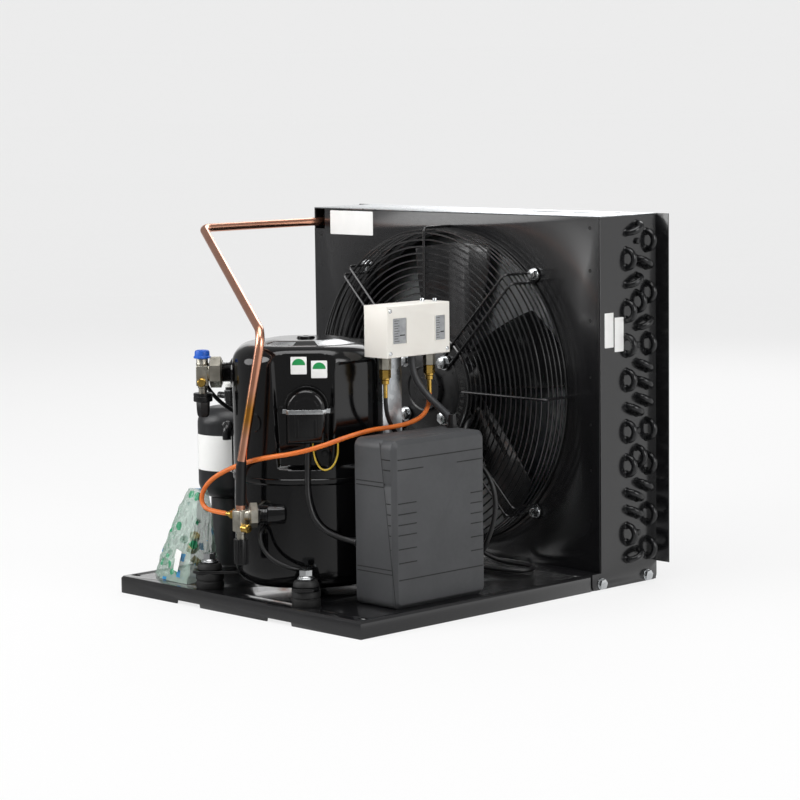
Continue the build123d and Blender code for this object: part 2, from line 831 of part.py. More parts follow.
recess_reach = shell_side / 2 - recess_depth
recess_plane = terminal_plane(recess_reach)
fence_inside = (fence_width - 2 * fence_wall, fence_bottom + fence_wall, fence_top - fence_wall)
with BuildPart() as compressor_upper_shell:
    with BuildSketch(Plane(origin=(comp_x, comp_y, seam_z))):
        RectangleRounded(shell_side, shell_side, shell_corner, rotation=45)
    extrude(amount=shell_top - seam_z)
    fillet(faces().sort_by(Axis.Z)[-1].edges(), top_round)
    with BuildSketch(recess_plane):
        with Locations((0, (recess_bottom + shell_top) / 2)):
            Rectangle(recess_width, shell_top - recess_bottom)
    extrude(amount=shell_corner, mode=Mode.SUBTRACT)
    with BuildSketch(Plane(origin=(comp_x, comp_y, shell_top))):
        Circle(crown_radius)
    extrude(amount=crown_rise, taper=40)
    with BuildSketch(Plane(origin=(comp_x, comp_y, shell_top + crown_rise))):
        RegularPolygon(boss_radius, round_sides)
    extrude(amount=boss_height)
    extrude(arch(recess_plane, terminal_shift, fence_width, fence_bottom, fence_top), amount=fence_depth)
    extrude(arch(recess_plane, terminal_shift, *fence_inside), amount=fence_depth, mode=Mode.SUBTRACT)
    with BuildSketch(suction_plane(shell_side / 2)):
        RegularPolygon(spud_radius, round_sides)
    extrude(amount=suction_spud_end - shell_side / 2)
    with BuildSketch(suction_plane(suction_spud_end)):
        RegularPolygon(spud_neck_radius, round_sides)
    extrude(amount=spud_neck)
compressor_upper_shell.part.label = "compressor_upper_shell"
export_step(compressor_upper_shell.part, "parts/compressor_upper_shell.step")

# Compressor feet: four plates welded round the bottom of the shell
foot_inset = bottom_round - (foot_z + foot_plate - shell_bottom)
shell_at_foot = shell_side / 2 - foot_inset
with BuildPart() as compressor_feet:
    with BuildSketch(Plane(origin=(mount_x, mount_y, foot_z))):
        with PolarLocations((foot_root + foot_tip) / 2, 4, start_angle=45):
            Rectangle(foot_tip - foot_root, foot_width)
        chamfer(vertices(), foot_chamfer)
        with GridLocations(mount_spacing, mount_spacing, 2, 2):
            RegularPolygon(mount_hole_radius, grommet_sides, mode=Mode.SUBTRACT)
        with Locations((comp_x - mount_x, comp_y - mount_y)):
            shell_hole = (2 * shell_at_foot, 2 * shell_at_foot, shell_corner - foot_inset)
            RectangleRounded(*shell_hole, rotation=45, mode=Mode.SUBTRACT)
    extrude(amount=foot_plate)
compressor_feet.part.label = "compressor_feet"
export_step(compressor_feet.part, "parts/compressor_feet.step")

# Rubber grommets: a lower cushion, a neck through the foot and an upper ring
grommet_bore = mount_stud_radius + fit_gap
grommet_steps = (
    (deck_height, foot_z, grommet_radius),
    (foot_z, foot_z + foot_plate, mount_hole_radius - fit_gap),
    (foot_z + foot_plate, foot_z + foot_plate + grommet_ring_height, grommet_ring_radius),
)
with BuildPart() as mount_grommets:
    for bottom, top, radius in grommet_steps:
        with BuildSketch(Plane(origin=(mount_x, mount_y, bottom))):
            with GridLocations(mount_spacing, mount_spacing, 2, 2):
                RegularPolygon(radius, grommet_sides)
                RegularPolygon(grommet_bore, grommet_sides, mode=Mode.SUBTRACT)
        extrude(amount=top - bottom)
mount_grommets.part.label = "mount_grommets"
export_step(mount_grommets.part, "parts/mount_grommets.step")

# Mount bolts run down through the grommets and the deck
grommet_top = foot_z + foot_plate + grommet_ring_height
mount_grip = grommet_top - deck_height + base_sheet
mount_bolt = hex_bolt(mount_bolt_flats, mount_bolt_head, mount_stud_radius, mount_grip)
with BuildPart() as mount_bolts:
    with Locations(Plane(origin=(mount_x, mount_y, grommet_top))):
        with GridLocations(mount_spacing, mount_spacing, 2, 2):
            add(mount_bolt)
mount_bolts.part.label = "mount_bolts"
export_step(mount_bolts.part, "parts/mount_bolts.step")

# Terminal pins: three pins through a glass-sealed plug in the shell
with BuildPart() as terminal_pins:
    with BuildSketch(recess_plane):
        with Locations((terminal_shift, (fence_bottom + fence_top) / 2)):
            RegularPolygon(pin_plug_radius, round_sides)
    extrude(amount=pin_plug)
    with BuildSketch(terminal_plane(recess_reach + pin_plug)):
        with Locations((terminal_shift, (fence_bottom + fence_top) / 2)):
            with PolarLocations(pin_circle, 3, start_angle=90):
                RegularPolygon(pin_radius, eye_sides)
    extrude(amount=pin_length)
terminal_pins.part.label = "terminal_pins"
export_step(terminal_pins.part, "parts/terminal_pins.step")

# Terminal cover: moulded cap that stands inside the fence
cover_gap = (fence_width - 2 * fence_wall - cover_width) / 2
cover_bottom = fence_bottom + fence_wall + cover_gap
cover_top = fence_top - fence_wall - cover_gap
with BuildPart() as terminal_cover:
    extrude(arch(recess_plane, terminal_shift, cover_width, cover_bottom, cover_top), amount=cover_depth)
    chamfer(faces().sort_by(Axis(comp_centre, (1, -1, 0)))[-1].edges(), cover_edge)
    hollow = (cover_width - 2 * cover_wall, cover_bottom + cover_wall, cover_top - cover_wall)
    extrude(arch(recess_plane, terminal_shift, *hollow), amount=cover_depth - cover_wall, mode=Mode.SUBTRACT)
terminal_cover.part.label = "terminal_cover"
export_step(terminal_cover.part, "parts/terminal_cover.step")

# Terminal strap: a steel band over the cover, hooked to two ears on the shell
cover_face = recess_reach + cover_depth
strap_corners = (
    (-strap_reach, recess_reach),
    (-strap_reach, recess_reach + strap_rise),
    (-cover_width / 2 - fit_gap, recess_reach + strap_rise),
    (-cover_width / 2 - fit_gap, cover_face - cover_edge),
    (-cover_width / 2 + cover_edge, cover_face + fit_gap),
)
strap_left = [(terminal_shift + along, -out) for along, out in strap_corners]
strap_right = [(terminal_shift - along, -out) for along, out in reversed(strap_corners)]
strap_plane = Plane(origin=(comp_x, comp_y, strap_z), x_dir=(face_way, face_way, 0), z_dir=(0, 0, 1))
with BuildPart() as terminal_strap:
    with BuildSketch(strap_plane):
        with BuildLine():
            Polyline(*strap_left, *strap_right)
            offset(amount=strap_sheet, side=Side.RIGHT, kind=Kind.INTERSECTION)
        make_face()
    extrude(amount=strap_width)
terminal_strap.part.label = "terminal_strap"
export_step(terminal_strap.part, "parts/terminal_strap.step")

# Swivel nuts clamp each valve's tail to its stub on the shell
with BuildPart() as swivel_nuts:
    for plane, flats, length in (
        (suction_plane(suction_spud_end), suction_nut_flats, nut_length),
        (discharge_plane(discharge_nut_back), discharge_nut_flats, discharge_nut_length),
    ):
        with BuildSketch(plane):
            RegularPolygon(flats / 2, 6, major_radius=False, rotation=30)
            RegularPolygon(spud_neck_radius + fit_gap, round_sides, mode=Mode.SUBTRACT)
        extrude(amount=length)
swivel_nuts.part.label = "swivel_nuts"
export_step(swivel_nuts.part, "parts/swivel_nuts.step")

# Suction valve body: block with a tail, an upright pipe socket and a stem boss below
suction_tail_end = suction_spud_end + spud_neck
suction_block = comp_centre + Vector(-face_way, -face_way, 0) * suction_reach
with BuildPart() as suction_valve_body:
    with BuildSketch(Plane(origin=suction_block + Vector(0, 0, suction_block_bottom))):
        RectangleRounded(valve_block, valve_block, 2, rotation=45)
    extrude(amount=suction_block_top - suction_block_bottom)
    with BuildSketch(suction_plane(suction_tail_end)):
        RegularPolygon(tail_radius, round_sides)
    extrude(amount=suction_reach - suction_tail_end)
    with BuildSketch(Plane(origin=suction_block + Vector(0, 0, suction_block_top))):
        RegularPolygon(suction_port_radius, round_sides)
    extrude(amount=suction_port_top - suction_block_top)
    with BuildSketch(Plane(origin=suction_block + Vector(0, 0, suction_port_top))):
        RegularPolygon(suction_port_bore, round_sides)
    extrude(amount=-suction_port_depth, mode=Mode.SUBTRACT)
    with BuildSketch(Plane(origin=suction_block + Vector(0, 0, suction_block_bottom))):
        RegularPolygon(stem_radius, round_sides)
    extrude(amount=-stem_length)
    with BuildSketch(Plane(origin=suction_block + Vector(0, 0, suction_block_bottom - stem_length))):
        Circle(spindle_radius + fit_gap)
    extrude(amount=spindle_set_in + fit_gap, mode=Mode.SUBTRACT)
suction_valve_body.part.label = "suction_valve_body"
export_step(suction_valve_body.part, "parts/suction_valve_body.step")

# Discharge valve body: block with a tail, a pipe socket on top and a stem boss below
discharge_tail_back = discharge_nut_back - spud_neck
discharge_floor = Vector(discharge_x, discharge_y, discharge_block_bottom)
with BuildPart() as discharge_valve_body:
    with BuildSketch(Plane(origin=discharge_floor)):
        RectangleRounded(valve_block, valve_block, 2)
    extrude(amount=discharge_block_top - discharge_block_bottom)
    with BuildSketch(discharge_plane(discharge_tail_back)):
        RegularPolygon(tail_radius - 1, round_sides)
    extrude(amount=discharge_tail_back)
    with BuildSketch(Plane(origin=discharge_floor)):
        RegularPolygon(stem_radius, round_sides)
    extrude(amount=-stem_length)
    with BuildSketch(Plane(origin=discharge_floor - Vector(0, 0, stem_length))):
        Circle(spindle_radius + fit_gap)
    extrude(amount=spindle_set_in + fit_gap, mode=Mode.SUBTRACT)
discharge_valve_body.part.label = "discharge_valve_body"
export_step(discharge_valve_body.part, "parts/discharge_valve_body.step")


def valve_spindle(place):
    """A stem's square-ended spindle, from inside the boss down into the cap."""
    with BuildPart() as spindle:
        with BuildSketch(Plane(origin=place)):
            Circle(spindle_radius)
        extrude(amount=spindle_set_in)
        with BuildSketch(Plane(origin=place)):
            Rectangle(spindle_square, spindle_square)
        extrude(amount=-(spindle_length - spindle_set_in))
    return spindle.part


suction_stem_end = suction_block + Vector(0, 0, suction_block_bottom - stem_length)
discharge_stem_end = discharge_floor - Vector(0, 0, stem_length)
with BuildPart() as suction_spindle:
    add(valve_spindle(suction_stem_end))
suction_spindle.part.label = "suction_spindle"
export_step(suction_spindle.part, "parts/suction_spindle.step")

with BuildPart() as discharge_spindle:
    add(valve_spindle(discharge_stem_end))
discharge_spindle.part.label = "discharge_spindle"
export_step(discharge_spindle.part, "parts/discharge_spindle.step")

# Stem caps screw on to the stems from below
cap_bore = stem_radius + fit_gap
cap_top = suction_stem_end + Vector(0, 0, cap_grip)
with BuildPart() as suction_stem_cap:
    with BuildSketch(Plane(origin=cap_top)):
        RegularPolygon(cap_radius, eye_sides)
    extrude(amount=-cap_collar)
    with BuildSketch(Plane(origin=cap_top - Vector(0, 0, cap_collar))):
        RegularPolygon(cap_tip_radius, 6)
    extrude(amount=-(cap_height - cap_collar))
    with BuildSketch(Plane(origin=cap_top)):
        Circle(cap_bore)
    extrude(amount=-(cap_height - cap_wall), mode=Mode.SUBTRACT)
suction_stem_cap.part.label = "suction_stem_cap"
export_step(suction_stem_cap.part, "parts/suction_stem_cap.step")

ribbed_top = discharge_stem_end + Vector(0, 0, cap_grip)
with BuildPart() as discharge_stem_cap:
    with BuildSketch(Plane(origin=ribbed_top)):
        RegularPolygon(ribbed_cap_radius, round_sides)
    extrude(amount=-ribbed_cap_height)
    chamfer(faces().sort_by(Axis.Z)[0].edges(), 2)
    with BuildSketch(Plane(origin=ribbed_top)):
        Circle(cap_bore)
    extrude(amount=-(ribbed_cap_height - cap_wall), mode=Mode.SUBTRACT)
discharge_stem_cap.part.label = "discharge_stem_cap"
export_step(discharge_stem_cap.part, "parts/discharge_stem_cap.step")

# Suction plug: soft cap pushed over the open suction socket
with BuildPart() as suction_plug:
    with BuildSketch(Plane(origin=suction_block + Vector(0, 0, plug_bottom))):
        RegularPolygon(plug_brim_radius, round_sides)
    extrude(amount=plug_brim)
    with BuildSketch(Plane(origin=suction_block + Vector(0, 0, plug_bottom + plug_brim))):
        RegularPolygon(plug_radius, round_sides)
    extrude(amount=plug_top - plug_bottom - plug_brim)
    with BuildSketch(Plane(origin=suction_block + Vector(0, 0, plug_bottom))):
        RegularPolygon(suction_port_radius + fit_gap, round_sides)
    extrude(amount=suction_port_top + fit_gap - plug_bottom, mode=Mode.SUBTRACT)
suction_plug.part.label = "suction_plug"
export_step(suction_plug.part, "parts/suction_plug.step")

# Service port caps: small brass caps on the side of each valve block
suction_port_face = suction_block + Vector(face_way, -face_way, 0) * (valve_block / 2)
discharge_port_face = discharge_floor + Vector(valve_block / 2, -3, 6)
with BuildPart() as service_port_caps:
    with BuildSketch(
        Plane(origin=suction_port_face + Vector(0, 0, suction_gauge_z), z_dir=(face_way, -face_way, 0))
    ):
        RegularPolygon(port_cap_radius, eye_sides)
    extrude(amount=port_cap_length)
    with BuildSketch(Plane(origin=discharge_port_face, z_dir=(1, 0, 0))):
        RegularPolygon(port_cap_radius, eye_sides)
    extrude(amount=port_cap_length)
service_port_caps.part.label = "service_port_caps"
export_step(service_port_caps.part, "parts/service_port_caps.step")

# Receiver: upright tank with domed ends on a flanged foot
dome_inner = receiver_foot_radius - receiver_foot_wall
dome_flat = receiver_radius - receiver_dome
dome_lift = receiver_dome - sqrt(receiver_dome**2 - (dome_inner - dome_flat) ** 2)
receiver_axis = Vector(receiver_x, receiver_y, 0)
with BuildPart() as receiver_shell:
    with BuildSketch(Plane(origin=receiver_axis + Vector(0, 0, receiver_bottom))):
        Circle(receiver_radius)
    extrude(amount=receiver_top - receiver_bottom)
    fillet(edges().filter_by(GeomType.CIRCLE), receiver_dome)
receiver_shell.part.label = "receiver_shell"
export_step(receiver_shell.part, "parts/receiver_shell.step")

with BuildPart() as receiver_foot:
    with BuildSketch(Plane(origin=receiver_axis + Vector(0, 0, deck_height))):
        RegularPolygon(receiver_flange_radius, round_sides)
        RegularPolygon(dome_inner, round_sides, mode=Mode.SUBTRACT)
    extrude(amount=receiver_foot_wall)
    with BuildSketch(Plane(origin=receiver_axis + Vector(0, 0, deck_height))):
        RegularPolygon(receiver_foot_radius, round_sides)
        RegularPolygon(dome_inner, round_sides, mode=Mode.SUBTRACT)
    extrude(amount=receiver_bottom + dome_lift - fit_gap - deck_height)
receiver_foot.part.label = "receiver_foot"
export_step(receiver_foot.part, "parts/receiver_foot.step")

# Receiver valve and its cap, on top of the tank
with BuildPart() as receiver_valve:
    with BuildSketch(Plane(origin=receiver_axis + Vector(0, 0, receiver_top))):
        RegularPolygon(receiver_valve_radius, 6)
    extrude(amount=receiver_valve_top - receiver_top)
    with BuildSketch(Plane(origin=receiver_axis + Vector(0, 0, receiver_outlet_z), z_dir=(-1, 0, 0))):
        RegularPolygon(receiver_outlet_radius, eye_sides)
    extrude(amount=receiver_outlet_reach)
receiver_valve.part.label = "receiver_valve"
export_step(receiver_valve.part, "parts/receiver_valve.step")

with BuildPart() as receiver_valve_cap:
    with BuildSketch(Plane(origin=receiver_axis + Vector(0, 0, receiver_valve_top))):
        RegularPolygon(receiver_cap_radius, eye_sides)
    extrude(amount=receiver_cap_height)
receiver_valve_cap.part.label = "receiver_valve_cap"
export_step(receiver_valve_cap.part, "parts/receiver_valve_cap.step")

# Receiver elbow on the tank's shoulder
elbow_way = Vector(face_way, -face_way, 0)
elbow_start = receiver_axis + elbow_way * (receiver_radius + fit_gap) + Vector(0, 0, elbow_z)
elbow_out = elbow_start + elbow_way * elbow_reach
with BuildPart() as receiver_elbow:
    elbow_points = [elbow_start, elbow_out, elbow_out - Vector(0, 0, elbow_drop)]
    add(bent_tube(elbow_points, [elbow_turn], elbow_diameter, cord_sides))
receiver_elbow.part.label = "receiver_elbow"
export_step(receiver_elbow.part, "parts/receiver_elbow.step")

# Switch post: folded channel on the deck with a tab under the switch
post_middle = (post_left + post_right) / 2
with BuildPart() as switch_post:
    with BuildSketch(Plane.XY.offset(deck_height)):
        with Locations((post_front - post_flange / 2, post_middle)):
            Rectangle(post_flange, post_right - post_left)
        with Locations((post_front - post_sheet - post_flange / 2, post_middle)):
            Rectangle(post_flange, post_right - post_left - 2 * post_sheet, mode=Mode.SUBTRACT)
    extrude(amount=switch_bottom - deck_height)
    for bottom in (deck_height, switch_bottom - post_sheet):
        with BuildSketch(Plane.XY.offset(bottom)):
            with Locations((post_front + post_foot / 2 - post_sheet / 2, post_middle)):
                Rectangle(post_foot + post_sheet, post_tab)
        extrude(amount=post_sheet)
switch_post.part.label = "switch_post"
export_step(switch_post.part, "parts/switch_post.step")

# Pressure switch: chassis with its back, floor and spindle shelf, and a cover over the front, top and ends
switch_middle_y = (switch_left + switch_right) / 2
switch_length = switch_right - switch_left
switch_height = switch_top - switch_bottom
spindle_top = switch_top + switch_spindle_rise
inside_length = switch_length - 2 * switch_cover_sheet - 2 * fit_gap
with BuildPart() as switch_chassis:
    with BuildSketch(Plane.YZ.offset(switch_back)):
        with Locations((switch_middle_y, (switch_bottom + switch_top - switch_cover_sheet - fit_gap) / 2)):
            Rectangle(inside_length, switch_height - switch_cover_sheet - fit_gap)
    extrude(amount=switch_cover_sheet)
    with BuildSketch(Plane.XY.offset(switch_bottom)):
        with Locations(((switch_back + switch_front - switch_cover_sheet - fit_gap) / 2, switch_middle_y)):
            Rectangle(switch_front - switch_back - switch_cover_sheet - fit_gap, inside_length)
    extrude(amount=switch_cover_sheet)
    with BuildSketch(Plane.XY.offset(spindle_top - switch_spindle_depth)):
        with Locations(((switch_back + shelf_front) / 2, shelf_middle)):
            Rectangle(shelf_front - switch_back, shelf_width)
    extrude(amount=-switch_cover_sheet)
switch_chassis.part.label = "switch_chassis"
export_step(switch_chassis.part, "parts/switch_chassis.step")

with BuildPart() as switch_cover:
    with BuildSketch(Plane.XY.offset(switch_bottom)):
        with Locations(((switch_back + switch_front) / 2, switch_middle_y)):
            Rectangle(switch_front - switch_back, switch_length)
    extrude(amount=switch_height)
    fillet(faces().sort_by(Axis.X)[-1].edges(), switch_edge)
    with BuildSketch(Plane.XY.offset(switch_bottom)):
        with Locations(((switch_back + switch_front) / 2 - switch_cover_sheet, switch_middle_y)):
            Rectangle(switch_front - switch_back, switch_length - 2 * switch_cover_sheet)
    extrude(amount=switch_height - switch_cover_sheet, mode=Mode.SUBTRACT)
    for centre_y, centre_z, width, height in window_places:
        with BuildSketch(Plane.YZ.offset(switch_front)):
            with Locations((centre_y, centre_z)):
                Rectangle(width, height)
        extrude(amount=-window_depth, mode=Mode.SUBTRACT)
    with BuildSketch(Plane.XY.offset(switch_top)):
        with Locations(*switch_spindle_places):
            Circle(switch_spindle_radius + fit_gap)
    extrude(amount=-2 * switch_cover_sheet, mode=Mode.SUBTRACT)
switch_cover.part.label = "switch_cover"
export_step(switch_cover.part, "parts/switch_cover.step")

# Switch bellows: two pressure cups on the chassis floor, each with a port nut below
chassis_floor = switch_bottom + switch_cover_sheet
with BuildPart() as switch_bellows:
    with BuildSketch(Plane.XY.offset(chassis_floor)):
        with Locations(*port_places):
            RegularPolygon(bellows_radius, eye_sides)
    extrude(amount=bellows_height)
    with BuildSketch(Plane.XY.offset(switch_bottom)):
        with Locations(*port_places):
            RegularPolygon(port_nut_flats / 2, 6, major_radius=False)
    extrude(amount=-port_nut_length)
switch_bellows.part.label = "switch_bellows"
export_step(switch_bellows.part, "parts/switch_bellows.step")

# Adjusting spindles, one for the range and one for the difference
for name, place in zip(("range_spindle", "difference_spindle"), switch_spindle_places):
    with BuildPart() as switch_spindle:
        with BuildSketch(Plane(origin=(*place, spindle_top))):
            Circle(switch_spindle_radius)
        extrude(amount=-switch_spindle_depth)
        with BuildSketch(Plane(origin=(*place, spindle_top))):
            Rectangle(2 * switch_spindle_radius, spindle_slot)
        extrude(amount=-spindle_slot, mode=Mode.SUBTRACT)
    switch_spindle.part.label = name
    export_step(switch_spindle.part, f"parts/{name}.step")

# Hose fittings: nuts with barbs under the switch and on the discharge valve's side
nut_bottom = switch_bottom - port_nut_length - flare_length
valve_side = discharge_block - Vector(valve_block / 2, 0, 0)
nut_top = nut_bottom + flare_length
fitting_places = [Plane(origin=(*place, nut_top), z_dir=(0, 0, -1)) for place in port_places]
fitting_places.append(Plane(origin=valve_side, z_dir=(-1, 0, 0)))
fitting_sizes = ((flare_length, nut_bottom - barb_end),) * 2 + ((fitting_nut, fitting_barb),)
with BuildPart() as hose_fittings:
    for plane, (nut, barb) in zip(fitting_places, fitting_sizes):
        with BuildSketch(plane):
            RegularPolygon(flare_flats / 2, 6, major_radius=False)
        extrude(amount=nut)
        with BuildSketch(plane):
            RegularPolygon(barb_radius, eye_sides)
        extrude(amount=nut + barb)
hose_fittings.part.label = "hose_fittings"
export_step(hose_fittings.part, "parts/hose_fittings.step")

# Electrical box: a hollow case split on a leaning plane into housing and cover
box_top = deck_height + box_height
box_middle_y = (box_near + box_far) / 2
box_width = box_far - box_near
seam_plane = Plane(
    origin=(box_seam_top, 0, box_top),
    z_dir=(cos(radians(box_seam_lean)), 0, sin(radians(box_seam_lean))),
)


def box_half(side, recess):
    """One half of the case: its outside, less its inside, cut at the seam."""
    depth = box_front - box_back
    with BuildPart() as half:
        with BuildSketch(Plane.YZ.offset(box_back)):
            with Locations((box_middle_y, deck_height + box_height / 2)):
                RectangleRounded(box_width, box_height, box_edge)
        extrude(amount=depth)
        chamfer(faces().sort_by(Axis.X)[-1].edges(), box_edge / 2)
        with BuildSketch(Plane.YZ.offset(box_back + box_wall)):
            with Locations((box_middle_y, deck_height + box_height / 2)):
                Rectangle(box_width - 2 * box_wall - recess, box_height - 2 * box_wall - recess)
        extrude(amount=depth - 2 * box_wall - recess, mode=Mode.SUBTRACT)
        split(bisect_by=seam_plane, keep=side)
    return half.part


with BuildPart() as ebox_housing:
    add(box_half(Keep.BOTTOM, box_wall))
ebox_housing.part.label = "ebox_housing"
export_step(ebox_housing.part, "parts/ebox_housing.step")

with BuildPart() as ebox_cover:
    add(box_half(Keep.TOP, box_wall))
    with BuildSketch(Plane.XZ.offset(-box_near)):
        for height in groove_heights:
            with Locations((box_front, height)):
                Rectangle(2 * (box_front - box_back), groove_width)
    extrude(amount=-groove_depth, mode=Mode.SUBTRACT)
ebox_cover.part.label = "ebox_cover"
export_step(ebox_cover.part, "parts/ebox_cover.step")

# Electrical parts on the housing's back wall
parts_back = box_back + box_wall
parts_floor = deck_height + 1.5 * box_wall
with BuildPart() as capacitors:
    with BuildSketch(Plane.XY.offset(parts_floor)):
        for place_y in capacitor_places:
            with Locations((parts_back + capacitor_radius + fit_gap, place_y)):
                RegularPolygon(capacitor_radius, round_sides)
    extrude(amount=capacitor_height)
capacitors.part.label = "capacitors"
export_step(capacitors.part, "parts/capacitors.step")

for name, size, place in (
    ("start_relay", relay_size, relay_place),
    ("terminal_block", terminal_block_size, terminal_block_place),
):
    with BuildPart() as electric_part:
        with BuildSketch(Plane.YZ.offset(parts_back)):
            with Locations(place):
                Rectangle(size[1], size[2])
        extrude(amount=size[0])
        chamfer(faces().sort_by(Axis.X)[-1].edges(), 2)
    electric_part.part.label = name
    export_step(electric_part.part, f"parts/{name}.step")

# Condenser headers: gas side at the top, liquid side down to the outlet
header_x = -case_half - header_out
gas_rows = ((0, 10), (0, 17), (1, 14), (1, 19))
with BuildPart() as gas_header:
    with BuildSketch(Plane(origin=(header_x, gas_pipe_y, tube_z(0, 10) - header_tail))):
        RegularPolygon(gas_header_radius, cord_sides)
    extrude(amount=tube_z(1, 19) - tube_z(0, 10) + 1.5 * header_tail)
    for column, row in gas_rows:
        height = tube_z(column, row)
        place = tube_y(column)
        route = [(header_x, gas_pipe_y, height), (header_x, place, height), (-case_half, place, height)]
        add(mitred_tube(route, feeder_diameter))
gas_header.part.label = "gas_header"
export_step(gas_header.part, "parts/gas_header.step")

liquid_rows = (0, 5, 10, 15, 18, 19)
liquid_header_bottom = tube_z(2, 0) - tube_diameter
with BuildPart() as liquid_header:
    with BuildSketch(Plane(origin=(header_x, liquid_header_y, liquid_header_bottom))):
        RegularPolygon(liquid_header_radius, cord_sides)
    extrude(amount=tube_z(2, 19) + header_tail - liquid_header_bottom)
    for row in liquid_rows:
        height = tube_z(2, row)
        place = tube_y(2)
        route = [(header_x, liquid_header_y, height), (header_x, place, height), (-case_half, place, height)]
        add(mitred_tube(route, feeder_diameter))
liquid_header.part.label = "liquid_header"
export_step(liquid_header.part, "parts/liquid_header.step")

# Discharge line: copper pipe from the valve over the top to the gas header
discharge_route = (
    (header_x + gas_header_radius, gas_pipe_y, pipe_z),
    (pipe_x, gas_pipe_y, pipe_z),
    (pipe_x, -55, pipe_z),
    (101, -281, 394),
    (discharge_x + 4, discharge_y - 1, 213),
    (discharge_x, discharge_y, discharge_block_top + 0.9),
)
with BuildPart() as discharge_line:
    add(bent_tube(discharge_route, [12, 24, 28, 30], discharge_pipe, cord_sides))
discharge_line.part.label = "discharge_line"
export_step(discharge_line.part, "parts/discharge_line.step")

# Liquid line: from the foot of the liquid header to the receiver
receiver_back = receiver_y + receiver_radius + fit_gap
liquid_route = (
    (header_x, liquid_header_y, liquid_header_bottom),
    (header_x, liquid_header_y, 13),
    (header_x, 140, 13),
    (header_x, 110, 44),
    (receiver_x, 60, 60),
    (receiver_x, -40, 60),
    (receiver_x, -50, 200),
    (receiver_x, receiver_back, 200),
)
with BuildPart() as liquid_line:
    add(bent_tube(liquid_route, [7, 14, 14, 20, 20, 10], liquid_pipe, cord_sides))
liquid_line.part.label = "liquid_line"
export_step(liquid_line.part, "parts/liquid_line.step")

# Hoses of the pressure switch
orange_route = (
    (192.5, -52, 299.7),
    (192.5, -52, 284),
    (197, -70, 268),
    (199, -100, 261),
    (198, -136, 259),
    (197, -172, 259),
    (190, -212, 252),
    (174, -244, 241),
    (148, -268, 232),
    (114, -281, 226),
    (78, -282, 218),
    (44, -285, 207),
    (14, -291, 193),
    (-4, -297, 178),
    (-12, -300, 160),
    (-6, -300, 147),
    (12, -299.6, 143),
    (42.2, -299.6, 143),
)
with BuildPart() as high_side_hose:
    add(cord("high_side_hose", orange_route, hose_orange))
high_side_hose.part.label = "high_side_hose"
export_step(high_side_hose.part, "parts/high_side_hose.step")

black_route = (
    (192.5, -137.3, 299.7),
    (192.5, -137.3, 280),
    (188, -120, 254),
    (184, -96, 236),
    (172, -70, 224),
    (142, -44, 215),
    (100, -30, 209),
    (56, -32, 208),
    (12, -44, 212),
    (-28, -70, 220),
    (-58, -104, 232),
    (-76, -146, 248),
    (-84, -188, 270),
    (-80, -222, 296),
    (-66, -243.4, 316),
    (-51.7, -257.7, 316),
)
with BuildPart() as low_side_hose:
    add(cord("low_side_hose", black_route, hose_black))
low_side_hose.part.label = "low_side_hose"
export_step(low_side_hose.part, "parts/low_side_hose.step")

# Compressor cable: out of the terminal cover and back to the electrical box
compressor_route = (
    (139.4, -234.4, cover_bottom - 0.4),
    (139.6, -235.6, 222),
    (140.2, -237, 202),
    (141.6, -239, 182),
    (145.9, -240.2, 160),
    (153, -237.4, 139),
    (163.5, -229.6, 124),
    (176, -216.5, 114.5),
    (188, -206, 109.5),
    (box_back - 1, -202.5, 108.5),
)
with BuildPart() as compressor_cable:
    add(cord("compressor_cable", compressor_route, cable_black))
compressor_cable.part.label = "compressor_cable"
export_step(compressor_cable.part, "parts/compressor_cable.step")

# Switch cable: from the switch's floor to the top of the electrical box
switch_route = (
    (184, -78, switch_bottom - 0.3),
    (184, -78, 338),
    (188, -73, 318),
    (198, -62, 297),
    (212, -50, 279),
    (225, -44.5, 266),
    (229, -44, box_top + 2.2),
)
with BuildPart() as switch_cable:
    add(cord("switch_cable", switch_route, cable_thick))
switch_cable.part.label = "switch_cable"
export_step(switch_cable.part, "parts/switch_cable.step")

# Motor cable: out through the guard, down to a loop on the deck and up into the box's far side
motor_route = (
    (42, 152, 256.2),
    (64, 152, 246),
    (86, 146, 236),
    (90, 127, 232),
    (97, 115, 214),
    (104, 113, 186),
    (106, 113, 152),
    (106, 114, 118),
    (106, 116, 86),
    (109, 121, 58),
    (121, 132, 38),
    (142, 145, 29),
    (168, 152, 28),
    (195, 150, 28),
    (215, 136, 28),
    (218, 115, 28),
    (205, 101, 28),
    (182, 97, 28),
    (158, 97, 28),
    (138, 86, 28),
    (130, 64, 28),
    (138, 42, 28),
    (160, 26, 31),
    (190, 15, 40),
    (220, 4, 52),
    (246, -8, 70),
    (264, -13, 92),
    (274, -11, 116),
    (277, -8, 142),
    (274, -9, 168),
    (264, -12, 190),
    (251, -18, 203),
    (245, -25, 207),
    (244, box_far + 0.6, 207.5),
)
with BuildPart() as motor_cable:
    add(cord("motor_cable", motor_route, cable_motor))
motor_cable.part.label = "motor_cable"
export_step(motor_cable.part, "parts/motor_cable.step")

# Heater lead: a loop from the sump heater, in front of the shell's foot
heater_route = (
    (84.4, -267.3, 126),
    (88, -279, 121),
    (93, -284, 108),
    (101, -284, 95),
    (114, -280, 84),
    (128, -272, 76),
    (138, -260, 71),
    (139, -247, 69),
    (130.6, -238.4, 68.4),
)
with BuildPart() as heater_lead:
    add(cord("heater_lead", heater_route, heater_lead_size))
heater_lead.part.label = "heater_lead"
export_step(heater_lead.part, "parts/heater_lead.step")

